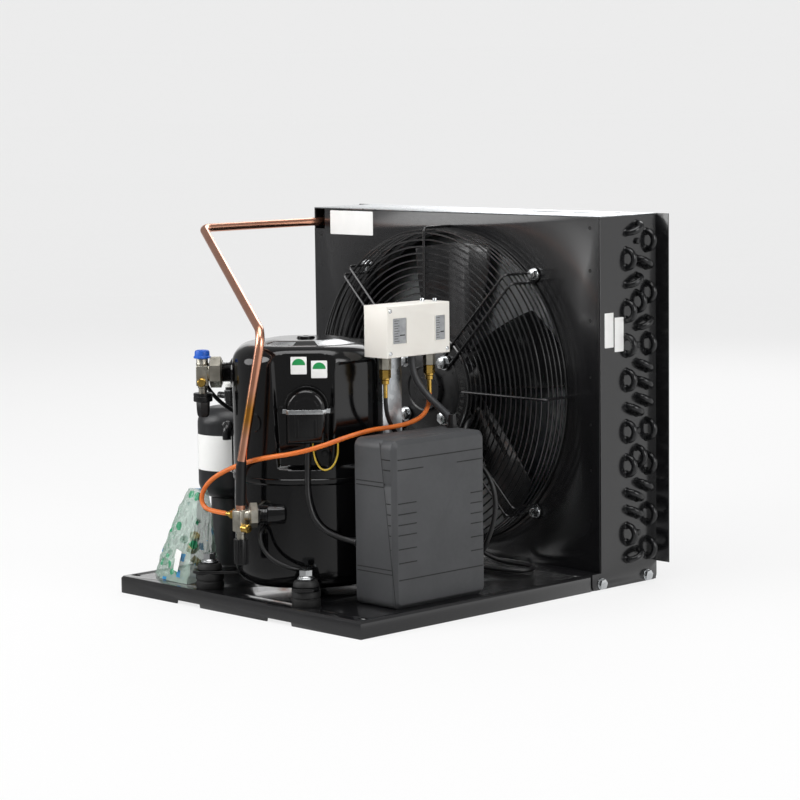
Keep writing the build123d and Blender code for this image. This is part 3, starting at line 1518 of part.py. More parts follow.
# Earth wire: from the shell's earth screw in a loop to the terminal cover
earth_route = (
    (158.7, -198.8, 246),
    (163.2, -200.9, 245),
    (164.9, -202, 236),
    (164.8, -202.7, 225),
    (162.7, -206.3, 213),
    (157.7, -212.6, 205),
    (152, -219.7, 204.5),
    (147.8, -225.3, 212),
    (145, -228.2, 224),
    (143.8, -229.1, 234),
    (143.4, -229.2, cover_bottom - 0.4),
)
with BuildPart() as earth_wire:
    add(cord("earth_wire", earth_route, earth_wire_size))
earth_wire.part.label = "earth_wire"
export_step(earth_wire.part, "parts/earth_wire.step")

# Bag of fittings that leans on the receiver
with BuildPart() as fittings_bag:
    with BuildSketch(Plane.XY.offset(deck_height + fit_gap)):
        with BuildLine():
            Polyline((-203, -236), (-150, -270), (-74, -276), (-98, -192), (-150, -184), close=True)
        make_face()
    with BuildSketch(Plane.XY.offset(bag_top)):
        with BuildLine():
            Polyline((-150, -214), (-124, -232), (-92, -236), (-100, -206), (-122, -196), close=True)
        make_face()
    loft()
fittings_bag.part.label = "fittings_bag"
export_step(fittings_bag.part, "parts/fittings_bag.step")
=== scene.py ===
"""A refrigeration condensing unit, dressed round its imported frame.

Everything is in metres in the frame of the model: +Z up, the floor at z = 0, +X along the
condenser towards its return bends and -Y towards the compressor. Sizes that come from the
drawing are written in millimetres and turned to metres where they are used.
"""
import logging
import math
from dataclasses import dataclass
from enum import Enum
from typing import Iterable, Optional, Sequence

import bmesh
import bpy
from mathutils import Matrix, Vector

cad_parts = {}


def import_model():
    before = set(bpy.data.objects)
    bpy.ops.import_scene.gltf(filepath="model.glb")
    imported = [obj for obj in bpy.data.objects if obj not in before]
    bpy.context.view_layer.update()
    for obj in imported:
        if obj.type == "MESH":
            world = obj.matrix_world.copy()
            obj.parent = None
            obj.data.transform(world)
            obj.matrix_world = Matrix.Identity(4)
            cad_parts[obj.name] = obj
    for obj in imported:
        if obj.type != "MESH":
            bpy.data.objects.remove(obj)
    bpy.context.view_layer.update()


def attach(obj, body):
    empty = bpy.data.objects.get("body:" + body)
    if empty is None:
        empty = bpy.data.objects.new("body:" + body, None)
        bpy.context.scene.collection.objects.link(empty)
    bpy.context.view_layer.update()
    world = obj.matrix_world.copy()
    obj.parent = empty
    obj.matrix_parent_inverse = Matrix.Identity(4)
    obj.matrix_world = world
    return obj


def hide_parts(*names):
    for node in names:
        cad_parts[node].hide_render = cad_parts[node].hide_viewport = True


LOG = logging.getLogger("condensing_unit")
MM = 0.001
ROOT = "unit"
SHARP = math.radians(32)  # an edge steeper than this stays crisp
LEAN = math.tan(math.radians(7))  # the slope of the electrical box's seam

ORIGIN = Vector((0, 0, 0))
UP, DOWN = Vector((0, 0, 1)), Vector((0, 0, -1))
RIGHT, LEFT = Vector((1, 0, 0)), Vector((-1, 0, 0))
FRONT, BACK = Vector((0, -1, 0)), Vector((0, 1, 0))
DIAGONAL = math.sqrt(0.5)
TERMINAL_SIDE = Vector((DIAGONAL, -DIAGONAL, 0))
SUCTION_SIDE = Vector((-DIAGONAL, -DIAGONAL, 0))
DISCHARGE_SIDE = Vector((math.cos(math.radians(235)), math.sin(math.radians(235)), 0))

# A Mix node's colour sockets share their names with its number sockets, so they go by number.
MIX_SHARE, MIX_FIRST, MIX_SECOND, MIX_RESULT = 0, 6, 7, 2

Outline = Sequence[tuple[float, float]]
Points = list[tuple[float, float]]
Tree, Node, Socket = bpy.types.NodeTree, bpy.types.Node, bpy.types.NodeSocket
Mesh, Piece, Material = bpy.types.Mesh, bpy.types.Object, bpy.types.Material


def mm(x: float, y: float, z: float) -> Vector:
    """A point given in millimetres, in metres."""
    return Vector((x, y, z)) * MM


def smooth(value: float) -> float:
    """A soft step from 0 to 1."""
    value = min(1.0, max(0.0, value))
    return value * value * (3 - 2 * value)


def full_turn(steps: int, start: float = 0.0) -> list[float]:
    """Evenly spaced angles once round, in radians, from a start in degrees."""
    return [math.radians(start) + math.tau * step / steps for step in range(steps)]


def sweep(first: float, last: float, steps: int) -> list[float]:
    """Evenly spaced angles between two in degrees, both ends counted, in radians."""
    return [math.radians(first + (last - first) * step / steps) for step in range(steps + 1)]


def linear(code: str) -> tuple[float, float, float, float]:
    """Turns an sRGB hex colour to Blender's linear values.

    Args:
        code: Six hex digits after a hash sign.

    Returns:
        Red, green, blue and an alpha of 1.
    """
    parts = [int(code[start:start + 2], 16) / 255 for start in (1, 3, 5)]
    slope, knee, offset, gamma = 12.92, 0.04045, 0.055, 2.4
    values = [part / slope if part <= knee else ((part + offset) / (1 + offset)) ** gamma for part in parts]
    return (*values, 1.0)


# Finishes


def node(tree: Tree, kind: str, links: Optional[dict] = None, **settings) -> Node:
    """Adds one node.

    Args:
        tree: The tree that gets the node.
        kind: Blender's name for the node.
        links: Input name or number to the output that feeds it, or to its plain value.
        settings: Properties of the node.

    Returns:
        The new node.
    """
    made = tree.nodes.new(kind)
    for key, value in settings.items():
        setattr(made, key, value)
    for key, value in (links or {}).items():
        if isinstance(value, Socket):
            tree.links.new(value, made.inputs[key])
        else:
            made.inputs[key].default_value = value
    return made


def scale_of(size: float) -> float:
    """A texture's scale from the size of its features in millimetres."""
    return 1 / (size * MM)


@dataclass(frozen=True)
class Finish:
    """A surface with one cloudy colour change, a gloss that varies and a fine relief.

    Sizes of grain, relief and clouds are in millimetres. Real coats are finer than a pixel here,
    so the grain is drawn as coarse as it needs to show.
    """

    name: str
    slot: str
    colour: str
    tint: str
    metallic: float = 0.0
    roughness: float = 0.4
    spread: float = 0.08
    grain: float = 1.5
    relief: float = 0.02
    cloud: float = 60.0
    coat: float = 0.0

    def material(self) -> Material:
        """The finish's material, made once."""
        found = bpy.data.materials.get(self.name)
        if found:
            return found
        made = bpy.data.materials.new(self.name)
        made.use_nodes = True
        tree = made.node_tree
        shader = tree.nodes["Principled BSDF"]
        shader.inputs["Metallic"].default_value = self.metallic
        if self.coat:
            shader.inputs["Coat Weight"].default_value = self.coat
            shader.inputs["Coat Roughness"].default_value = 0.12
        coords = node(tree, "ShaderNodeTexCoord").outputs["Object"]
        self.paint(tree, shader, coords)
        self.wear(tree, shader, coords)
        return made

    def clouded(self, tree: Tree, coords: Socket, detail: float = 4.0, full: float = 0.7) -> Socket:
        """The colour with soft clouds of the tint.

        Args:
            tree: The material's tree.
            coords: The place on the piece.
            detail: How ragged the clouds are.
            full: The noise level at which a cloud has its whole tint.

        Returns:
            The colour.
        """
        clouds = node(
            tree, "ShaderNodeTexNoise", {"Vector": coords, "Scale": scale_of(self.cloud), "Detail": detail}
        )
        ramp = node(tree, "ShaderNodeValToRGB", {"Fac": clouds.outputs["Fac"]})
        for end, position, code in zip(ramp.color_ramp.elements, (0.35, full), (self.colour, self.tint)):
            end.position = position
            end.color = linear(code)
        return ramp.outputs["Color"]

    def paint(self, tree: Tree, shader: Node, coords: Socket) -> None:
        """Lays the clouded colour on."""
        tree.links.new(self.clouded(tree, coords), shader.inputs["Base Color"])

    def wear(self, tree: Tree, shader: Node, coords: Socket) -> None:
        """Varies the gloss in patches nine grains wide and raises the fine relief."""
        patches = node(
            tree, "ShaderNodeTexNoise", {"Vector": coords, "Scale": scale_of(9 * self.grain), "Detail": 5.0}
        )
        gloss = node(
            tree, "ShaderNodeMapRange",
            {"Value": patches.outputs["Fac"], "From Min": 0.3, "From Max": 0.7,
             "To Min": max(0.03, self.roughness - self.spread), "To Max": self.roughness + self.spread},
        )
        tree.links.new(gloss.outputs["Result"], shader.inputs["Roughness"])
        if self.relief:
            fine = node(
                tree, "ShaderNodeTexNoise", {"Vector": coords, "Scale": scale_of(self.grain), "Detail": 2.0}
            )
            bump = node(
                tree, "ShaderNodeBump",
                {"Height": fine.outputs["Fac"], "Distance": self.relief * MM, "Strength": 0.6},
            )
            tree.links.new(bump.outputs["Normal"], shader.inputs["Normal"])


@dataclass(frozen=True)
class Spangle(Finish):
    """Hot-dip zinc: flat crystals that each catch the light in their own way."""

    crystal: float = 9.0

    def paint(self, tree: Tree, shader: Node, coords: Socket) -> None:
        """Gives each crystal a grey of its own."""
        cells = node(tree, "ShaderNodeTexVoronoi", {"Vector": coords, "Scale": scale_of(self.crystal)})
        ramp = node(tree, "ShaderNodeValToRGB", {"Fac": cells.outputs["Color"]})
        for end, code in zip(ramp.color_ramp.elements, (self.colour, self.tint)):
            end.color = linear(code)
        tree.links.new(ramp.outputs["Color"], shader.inputs["Base Color"])


@dataclass(frozen=True)
class HeatTint(Finish):
    """Drawn copper with a straw band where brazing has heated it."""

    heat_height: float = 283.0
    heat_core: float = 8.0
    heat_reach: float = 34.0
    straw: str = "#c98a3c"

    def paint(self, tree: Tree, shader: Node, coords: Socket) -> None:
        """Lays clouded copper on, and fades it to straw round the heated height."""
        height = node(tree, "ShaderNodeSeparateXYZ", {"Vector": coords}).outputs["Z"]
        away = node(tree, "ShaderNodeMath", {0: height, 1: self.heat_height * MM}, operation="SUBTRACT")
        away = node(tree, "ShaderNodeMath", {0: away.outputs[0]}, operation="ABSOLUTE")
        clean = node(
            tree, "ShaderNodeMapRange",
            {"Value": away.outputs[0], "From Min": self.heat_core * MM, "From Max": self.heat_reach * MM},
        )
        mixed = node(
            tree, "ShaderNodeMix",
            {MIX_SHARE: clean.outputs["Result"], MIX_FIRST: linear(self.straw),
             MIX_SECOND: self.clouded(tree, coords, 5.0, 0.68)}, data_type="RGBA",
        )
        tree.links.new(mixed.outputs[MIX_RESULT], shader.inputs["Base Color"])


@dataclass(frozen=True)
class Film(Finish):
    """Thin clear film, milky where it creases, with soft green and blue printed marks."""

    mark: float = 26.0
    dot_size: float = 0.27
    tile_size: float = 0.17
    tile_shift: tuple[float, float, float] = (0.037, 0.019, 0.011)
    second: str = "#2f8fc8"
    bare_cover: float = 0.52
    mark_cover: float = 0.92

    def paint(self, tree: Tree, shader: Node, coords: Socket) -> None:
        """Prints round green and square blue marks on the film and lets the rest show what is inside."""
        cells = node(tree, "ShaderNodeTexVoronoi", {"Vector": coords, "Scale": scale_of(self.mark)})
        dots = node(
            tree, "ShaderNodeMath", {0: cells.outputs["Distance"], 1: self.dot_size}, operation="LESS_THAN"
        )
        moved = node(tree, "ShaderNodeMapping", {"Vector": coords, "Location": self.tile_shift})
        tiles = node(
            tree, "ShaderNodeTexVoronoi",
            {"Vector": moved.outputs["Vector"], "Scale": 0.8 * scale_of(self.mark)}, distance="CHEBYCHEV",
        )
        squares = node(
            tree, "ShaderNodeMath", {0: tiles.outputs["Distance"], 1: self.tile_size}, operation="LESS_THAN"
        )
        shade = linear(self.tint)
        for share, colour in ((dots, self.colour), (squares, self.second)):
            links = {MIX_SHARE: share.outputs[0], MIX_FIRST: shade, MIX_SECOND: linear(colour)}
            shade = node(tree, "ShaderNodeMix", links, data_type="RGBA").outputs[MIX_RESULT]
        tree.links.new(shade, shader.inputs["Base Color"])
        links = {0: dots.outputs[0], 1: squares.outputs[0]}
        marked = node(tree, "ShaderNodeMath", links, operation="MAXIMUM")
        cover = node(
            tree, "ShaderNodeMapRange",
            {"Value": marked.outputs[0], "To Min": self.bare_cover, "To Max": self.mark_cover},
        )
        tree.links.new(cover.outputs["Result"], shader.inputs["Alpha"])


class Coats:
    """Every finish on the unit.

    After the name, the slot and the two colours come the metallic share, the roughness and its
    spread, the sizes of grain, relief and clouds in millimetres, and the coat.
    """

    # Powder coat baked on folded sheet: near black, so glossy that the pipes mirror in it.
    CASE = Finish(
        "powder_coated_sheet", "black_paint", "#141415", "#19191b", 0, 0.22, 0.03, 0.9, 0.008, 120, 0.6
    )
    # Welded wire dipped in black: thin bright lines of light along every ring.
    GUARD = Finish("coated_guard_wire", "guard_paint", "#101011", "#161617", 0, 0.22, 0.05, 0.7, 0, 60, 0.5)
    # Paint dipped over bent tube: soft runs that blur the shine.
    COIL = Finish("dip_painted_bends", "black_coil_paint", "#0c0c0e", "#131416", 0, 0.24, 0.08, 2.0, 0.03, 40)
    # Stoved enamel on pressed steel: the deepest black, with a long faint orange peel.
    SHELL = Finish(
        "glossy_shell_enamel", "compressor_gloss", "#060607", "#0b0b0c", 0, 0.11, 0.05, 9.0, 0.05, 90
    )
    # Sprayed primer on the welded tank: dull dark grey.
    TANK = Finish("satin_tank_paint", "grey_paint", "#1c1d1f", "#242527", 0, 0.36, 0.07, 1.4, 0.02, 70)
    # Warm white paint on thin folded sheet.
    WHITE = Finish("painted_switch_cover", "white_paint", "#e6e2da", "#ebe8e1", 0, 0.38, 0.05, 0.8, 0.01, 60)
    # Hot-dip zinc: crystals of lighter and darker grey.
    SHEET_ZINC = Spangle(
        "spangled_zinc_sheet", "zinc_sheet", "#b4b8bb", "#d3d6d8", 1, 0.34, 0.1, 2.0, 0.02, 60, 0, 7.0
    )
    # Plated fasteners: bright, a little blue.
    ZINC = Finish("bright_zinc_plate", "zinc_fastener", "#c4c7c9", "#dddfe0", 1, 0.24, 0.09, 1, 0.01, 12)
    # Nickel on machined steel: warm grey, dulled by handling.
    NICKEL = Finish("dull_nickel_plate", "nickel_steel", "#a8a498", "#c6c2b6", 1, 0.36, 0.1, 0.8, 0.02, 14)
    # Rolled fin stock, with the soft sheen of the mill.
    ALUMINIUM = Finish(
        "rolled_aluminium", "fin_aluminium", "#b0b3b5", "#c9cbcc", 1, 0.38, 0.08, 1.6, 0.01, 30
    )
    # Drawn tube: clean pink metal with a straw band from the torch.
    COPPER = HeatTint("brazed_copper_pipe", "copper", "#eeb094", "#e3a184", 1, 0.24, 0.03, 2.0, 0, 60)
    # Turned brass: yellow, with crisp bright edges.
    BRASS = Finish("machined_brass", "brass", "#c9a04a", "#dcb866", 1, 0.22, 0.08, 0.8, 0.01, 10)
    # Moulded rubber: dull black that takes no sharp highlight.
    RUBBER = Finish("moulded_rubber", "rubber", "#131313", "#1b1b1b", 0, 0.62, 0.08, 0.7, 0.03, 20)
    # Moulded nylon: black with a soft shine.
    BLACK_PLASTIC = Finish(
        "moulded_black_nylon", "black_plastic", "#0d0d0e", "#131314", 0, 0.34, 0.08, 0.8, 0.02, 30
    )
    # Textured housing plastic: dark grey with a spark-eroded grain that scatters the light.
    BOX = Finish("grained_grey_plastic", "grey_plastic", "#3b3c3e", "#434446", 0, 0.52, 0.05, 0.7, 0.03, 80)
    # Moulded plastic in clean white.
    WHITE_PLASTIC = Finish(
        "moulded_white_plastic", "white_plastic", "#e4e4e0", "#ededea", 0, 0.42, 0.06, 1, 0.01, 30
    )
    # Soft shipping plug: strong blue, waxy.
    BLUE = Finish("soft_blue_plastic", "blue_plastic", "#1452b4", "#1a5cc2", 0, 0.42, 0.06, 0.8, 0.01, 14)
    # Extruded hose skins and cable jackets: smooth, with a faint long sheen.
    ORANGE = Finish("orange_hose_skin", "orange_hose", "#cc6420", "#dd752c", 0, 0.4, 0.07, 0.7, 0.02, 22)
    JACKET = Finish("black_cable_jacket", "black_hose", "#101011", "#171718", 0, 0.4, 0.07, 0.6, 0.01, 30)
    GREY_JACKET = Finish(
        "grey_cable_jacket", "black_hose", "#333436", "#3c3d40", 0, 0.45, 0.06, 0.6, 0.01, 30
    )
    YELLOW = Finish("yellow_wire_skin", "yellow_wire", "#c2a02c", "#d2b440", 0, 0.42, 0.06, 0.6, 0.01, 6)
    # Bare label stock: paper, metallised film and a flat printed green.
    PAPER = Finish("blank_paper_label", "white_plastic", "#eeeeec", "#f3f3f1", 0, 0.5, 0.05, 1, 0.004, 25)
    SILVER = Finish("silver_film_label", "zinc_sheet", "#c9cbcd", "#dcdedf", 1, 0.3, 0.06, 2.0, 0.004, 25)
    GREEN = Finish("green_paper_mark", "white_plastic", "#0f8a45", "#159650", 0, 0.45, 0.05, 1, 0.004, 12)
    # The switch's scale plates: plain mid grey behind their frames.
    SCALE = Finish("grey_scale_plate", "white_plastic", "#8f9193", "#a1a3a5", 0, 0.4, 0.05, 0.8, 0.01, 8)
    # Painted shade: near black laid over holes, slots, grooves and rib edges that lie in shadow. The same
    # black prints the switch's scale marks and draws the box's seam.
    DARK = Finish("painted_shade_and_print_black", "black_plastic", "#060606", "#0a0a0a", 0, 0.6, 0.05, 1, 0, 20)
    # Blown film with printed marks: see-through and glossy, milky along its folds.
    FILM = Film(
        "clear_printed_film", "clear_film", "#2b9064", "#9fb9ab", 0, 0.16, 0.06, 3.0, 0.05, 30, 0, 24.0
    )


# Meshes


def linked(name: str, data: bpy.types.ID) -> Piece:
    """Puts a mesh, curve, lamp or camera in the scene as an object."""
    made = bpy.data.objects.new(name, data)
    bpy.context.scene.collection.objects.link(made)
    return made


def show(name: str, mesh: Mesh, finish: Finish, body: str = ROOT, nodes: Iterable[str] = ()) -> Piece:
    """Puts a finished mesh in the scene as one piece of the unit.

    Args:
        name: The piece's name.
        mesh: Its mesh, already in place.
        finish: Its surface.
        body: The moving body that carries it.
        nodes: The solids that it stands for.

    Returns:
        The piece.
    """
    piece = linked(name, mesh)
    mesh.materials.clear()
    mesh.materials.append(finish.material())
    mesh.shade_smooth()
    mesh.set_sharp_from_angle(angle=SHARP)
    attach(piece, body)
    if nodes:
        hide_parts(*nodes)
    LOG.info("%s: %d faces", name, len(mesh.polygons))
    return piece


def upright(along: Vector) -> Matrix:
    """A rotation that turns +Z to a direction and keeps +X level where it can."""
    along = along.normalized()
    level = UP.cross(along)
    side = level.normalized() if level.length > 0.001 else RIGHT
    return Matrix((side, along.cross(side), along)).transposed().to_4x4()


class Form:
    """A mesh in the making, from turned, boxed and swept shapes. Sizes are in millimetres."""

    def __init__(self) -> None:
        """Starts empty."""
        self.mesh = bmesh.new()

    def rings(self, loops: Sequence[Sequence[Vector]], closed: bool = False, capped: bool = True) -> "Form":
        """Joins rings of points into a skin.

        Args:
            loops: Rings with the same number of points, in metres.
            closed: Whether the last ring joins the first.
            capped: Whether the two ends are filled.

        Returns:
            This form.
        """
        made = [[self.mesh.verts.new(point) for point in loop] for loop in loops]
        pairs = list(zip(made, made[1:] + made[:1])) if closed else list(zip(made, made[1:]))
        for low, high in pairs:
            for index in range(len(low)):
                after = (index + 1) % len(low)
                self.mesh.faces.new((low[index], low[after], high[after], high[index]))
        if capped and not closed:
            self.mesh.faces.new(list(reversed(made[0])))
            self.mesh.faces.new(made[-1])
        return self

    def turned(
        self, profile: Outline, at: Vector, along: Vector, sides: int = 40, start: float = 0.0,
        hollow: bool = False,
    ) -> "Form":
        """Turns a profile of (radius, height) round an axis.

        Args:
            profile: The outline from one end of the axis to the other.
            at: The axis's foot, in metres.
            along: The axis's direction.
            sides: The number of flats, or enough of them to look round.
            start: The first corner's angle in degrees.
            hollow: Whether the profile is a closed outline beside the axis.

        Returns:
            This form.
        """
        place = Matrix.Translation(at) @ upright(along)
        turns = full_turn(sides, start)
        loops = []
        for radius, height in profile:
            radius = max(radius, 0.02)
            ring = [mm(radius * math.cos(turn), radius * math.sin(turn), height) for turn in turns]
            loops.append([place @ point for point in ring])
        return self.rings(loops, hollow)

    def hexagon(self, flats: float, height: float, at: Vector, along: Vector, start: float = 0.0) -> "Form":
        """A hexagon across its flats with both ends chamfered."""
        corner = flats / 2 / math.cos(math.pi / 6)
        edge = 0.03 * flats
        profile = ((flats / 2, 0), (corner, edge), (corner, height - edge), (flats / 2, height))
        return self.turned(profile, at, along, 6, start)

    def block(self, low: Vector, high: Vector, soft: float = 0.6, turn: Optional[Matrix] = None) -> "Form":
        """A box with rounded edges between two corners in millimetres, turned in place if asked."""
        made = bmesh.ops.create_cube(self.mesh, size=1.0)["verts"]
        centre = (low + high) / 2
        size = high - low
        place = turn or Matrix.Identity(4)
        for vert in made:
            vert.co = (place @ Vector([size[axis] * vert.co[axis] + centre[axis] for axis in range(3)])) * MM
        if soft:
            edges = list({edge for vert in made for edge in vert.link_edges})
            bmesh.ops.bevel(self.mesh, geom=edges, offset=soft * MM, segments=3, profile=0.5, affect="EDGES")
        return self

    def swept(self, path: Sequence[Vector], radius: float, sides: int = 12, closed: bool = False) -> "Form":
        """A round rod along a path in metres."""
        count = len(path)
        tangents = []
        for index in range(count):
            before = path[index - 1] if closed or index else path[0]
            after = path[(index + 1) % count] if closed or index < count - 1 else path[-1]
            tangents.append((after - before).normalized())
        side = tangents[0].orthogonal().normalized()
        loops = []
        turns = full_turn(sides)
        for point, tangent in zip(path, tangents):
            side = (side - tangent * side.dot(tangent)).normalized()
            other = tangent.cross(side)
            spokes = [side * math.cos(turn) + other * math.sin(turn) for turn in turns]
            loops.append([point + spoke * radius * MM for spoke in spokes])
        return self.rings(loops, closed)

    def plate(self, outlines: Sequence[Outline], depth: float, place: Matrix, soft: float = 0.3) -> "Form":
        """A sheet cut to an outline with holes.

        Args:
            outlines: The outer outline and then the holes, in the sheet's plane.
            depth: The sheet's thickness, towards the plane's +Z.
            place: Where the sheet's plane is, in metres.
            soft: The rounding of its edges.

        Returns:
            This form.
        """
        curve = bpy.data.curves.new("outline", "CURVE")
        curve.dimensions = "2D"
        curve.fill_mode = "BOTH"
        curve.extrude = (depth / 2 - soft) * MM
        curve.bevel_depth = soft * MM
        curve.bevel_resolution = 2
        curve.offset = -soft * MM
        for outline in outlines:
            spline = curve.splines.new("POLY")
            spline.points.add(len(outline) - 1)
            for point, (across, up) in zip(spline.points, outline):
                point.co = (across * MM, up * MM, 0, 1)
            spline.use_cyclic_u = True
        holder = bpy.data.objects.new("outline", curve)
        made = bpy.data.meshes.new_from_object(holder)
        made.transform(place @ Matrix.Translation((0, 0, depth / 2 * MM)))
        self.mesh.from_mesh(made)
        bpy.data.meshes.remove(made)
        bpy.data.objects.remove(holder)
        bpy.data.curves.remove(curve)
        return self

    def mesh_data(self, name: str) -> Mesh:
        """The finished mesh, with doubles merged and its faces turned outwards."""
        bmesh.ops.remove_doubles(self.mesh, verts=self.mesh.verts[:], dist=1e-6)
        bmesh.ops.recalc_face_normals(self.mesh, faces=self.mesh.faces[:])
        made = bpy.data.meshes.new(name)
        self.mesh.to_mesh(made)
        self.mesh.free()
        return made

    def done(self, name: str, finish: Finish, body: str = ROOT, nodes: Iterable[str] = ()) -> Piece:
        """Shows the form as a piece."""
        return show(name, self.mesh_data(name), finish, body, nodes)


def sheet(name: str, rows: Sequence[Sequence[Vector]], finish: Finish) -> Piece:
    """Lays a thin label over a grid of points in metres."""
    form = bmesh.new()
    made = [[form.verts.new(point) for point in row] for row in rows]
    for low, high in zip(made, made[1:]):
        for index in range(len(low) - 1):
            form.faces.new((low[index], low[index + 1], high[index + 1], high[index]))
    mesh = bpy.data.meshes.new(name)
    form.to_mesh(mesh)
    form.free()
    return show(name, mesh, finish)


def arc(centre: tuple[float, float], radius: float, first: float, last: float, steps: int = 12) -> Points:
    """Points of a flat arc between two angles in degrees."""
    (across, up), turns = centre, sweep(first, last, steps)
    return [(across + radius * math.cos(turn), up + radius * math.sin(turn)) for turn in turns]


def circle(centre: tuple[float, float], radius: float, steps: int = 48) -> Points:
    """A round outline."""
    return arc(centre, radius, 0, 360, steps)[:-1]


def rectangle(left: float, bottom: float, right: float, top: float, corner: float = 0.0) -> Points:
    """An upright rectangle with rounded corners."""
    if not corner:
        return [(left, bottom), (right, bottom), (right, top), (left, top)]
    inner = rectangle(left + corner, bottom + corner, right - corner, top - corner)
    points = []
    for quarter, centre in enumerate((inner[2], inner[3], inner[0], inner[1])):
        points += arc(centre, corner, 90 * quarter, 90 * quarter + 90, 6)
    return points


def bar(low: float, high: float, up: float, width: float, corner: float = 0.0) -> Points:
    """A level bar round a height."""
    return rectangle(low, up - width / 2, high, up + width / 2, corner)


def arch(middle: float, width: float, bottom: float, top: float) -> Points:
    """An upright outline with a round top."""
    half = width / 2
    return [(middle - half, bottom), (middle + half, bottom)] + arc((middle, top - half), half, 0, 180, 28)


def rounded(points: Sequence[Vector], radii: Sequence[float], steps: int = 8) -> list[Vector]:
    """Straight runs joined by tangent arcs.

    Args:
        points: The runs' corners, in metres.
        radii: One radius for each inner corner, in millimetres.
        steps: Points on each arc.

    Returns:
        The path's points, in metres.
    """
    path = [points[0]]
    for before, corner, after, radius in zip(points, points[1:], points[2:], radii):
        into = (corner - before).normalized()
        out = (after - corner).normalized()
        turn = into.angle(out)
        start = corner - into * radius * MM * math.tan(turn / 2)
        inward = (out - into * out.dot(into)).normalized()
        centre = start + inward * radius * MM
        for step in range(steps + 1):
            angle = turn * step / steps
            path.append(centre + (into * math.sin(angle) - inward * math.cos(angle)) * radius * MM)
    path.append(points[-1])
    return path


def facing(origin: Vector, across: Vector, up: Vector) -> Matrix:
    """A plane's place from its origin in metres and its two directions."""
    return Matrix.Translation(origin) @ Matrix((across, up, across.cross(up))).transposed().to_4x4()


def front_plane(y: float) -> Matrix:
    """A plane that faces the front: its +X is +X, its +Y is up and its +Z is towards -Y."""
    return facing(mm(0, y, 0), RIGHT, UP)


def side_plane(x: float) -> Matrix:
    """A plane that faces +X: its +X is +Y and its +Y is up."""
    return facing(mm(x, 0, 0), BACK, UP)


# What repeats


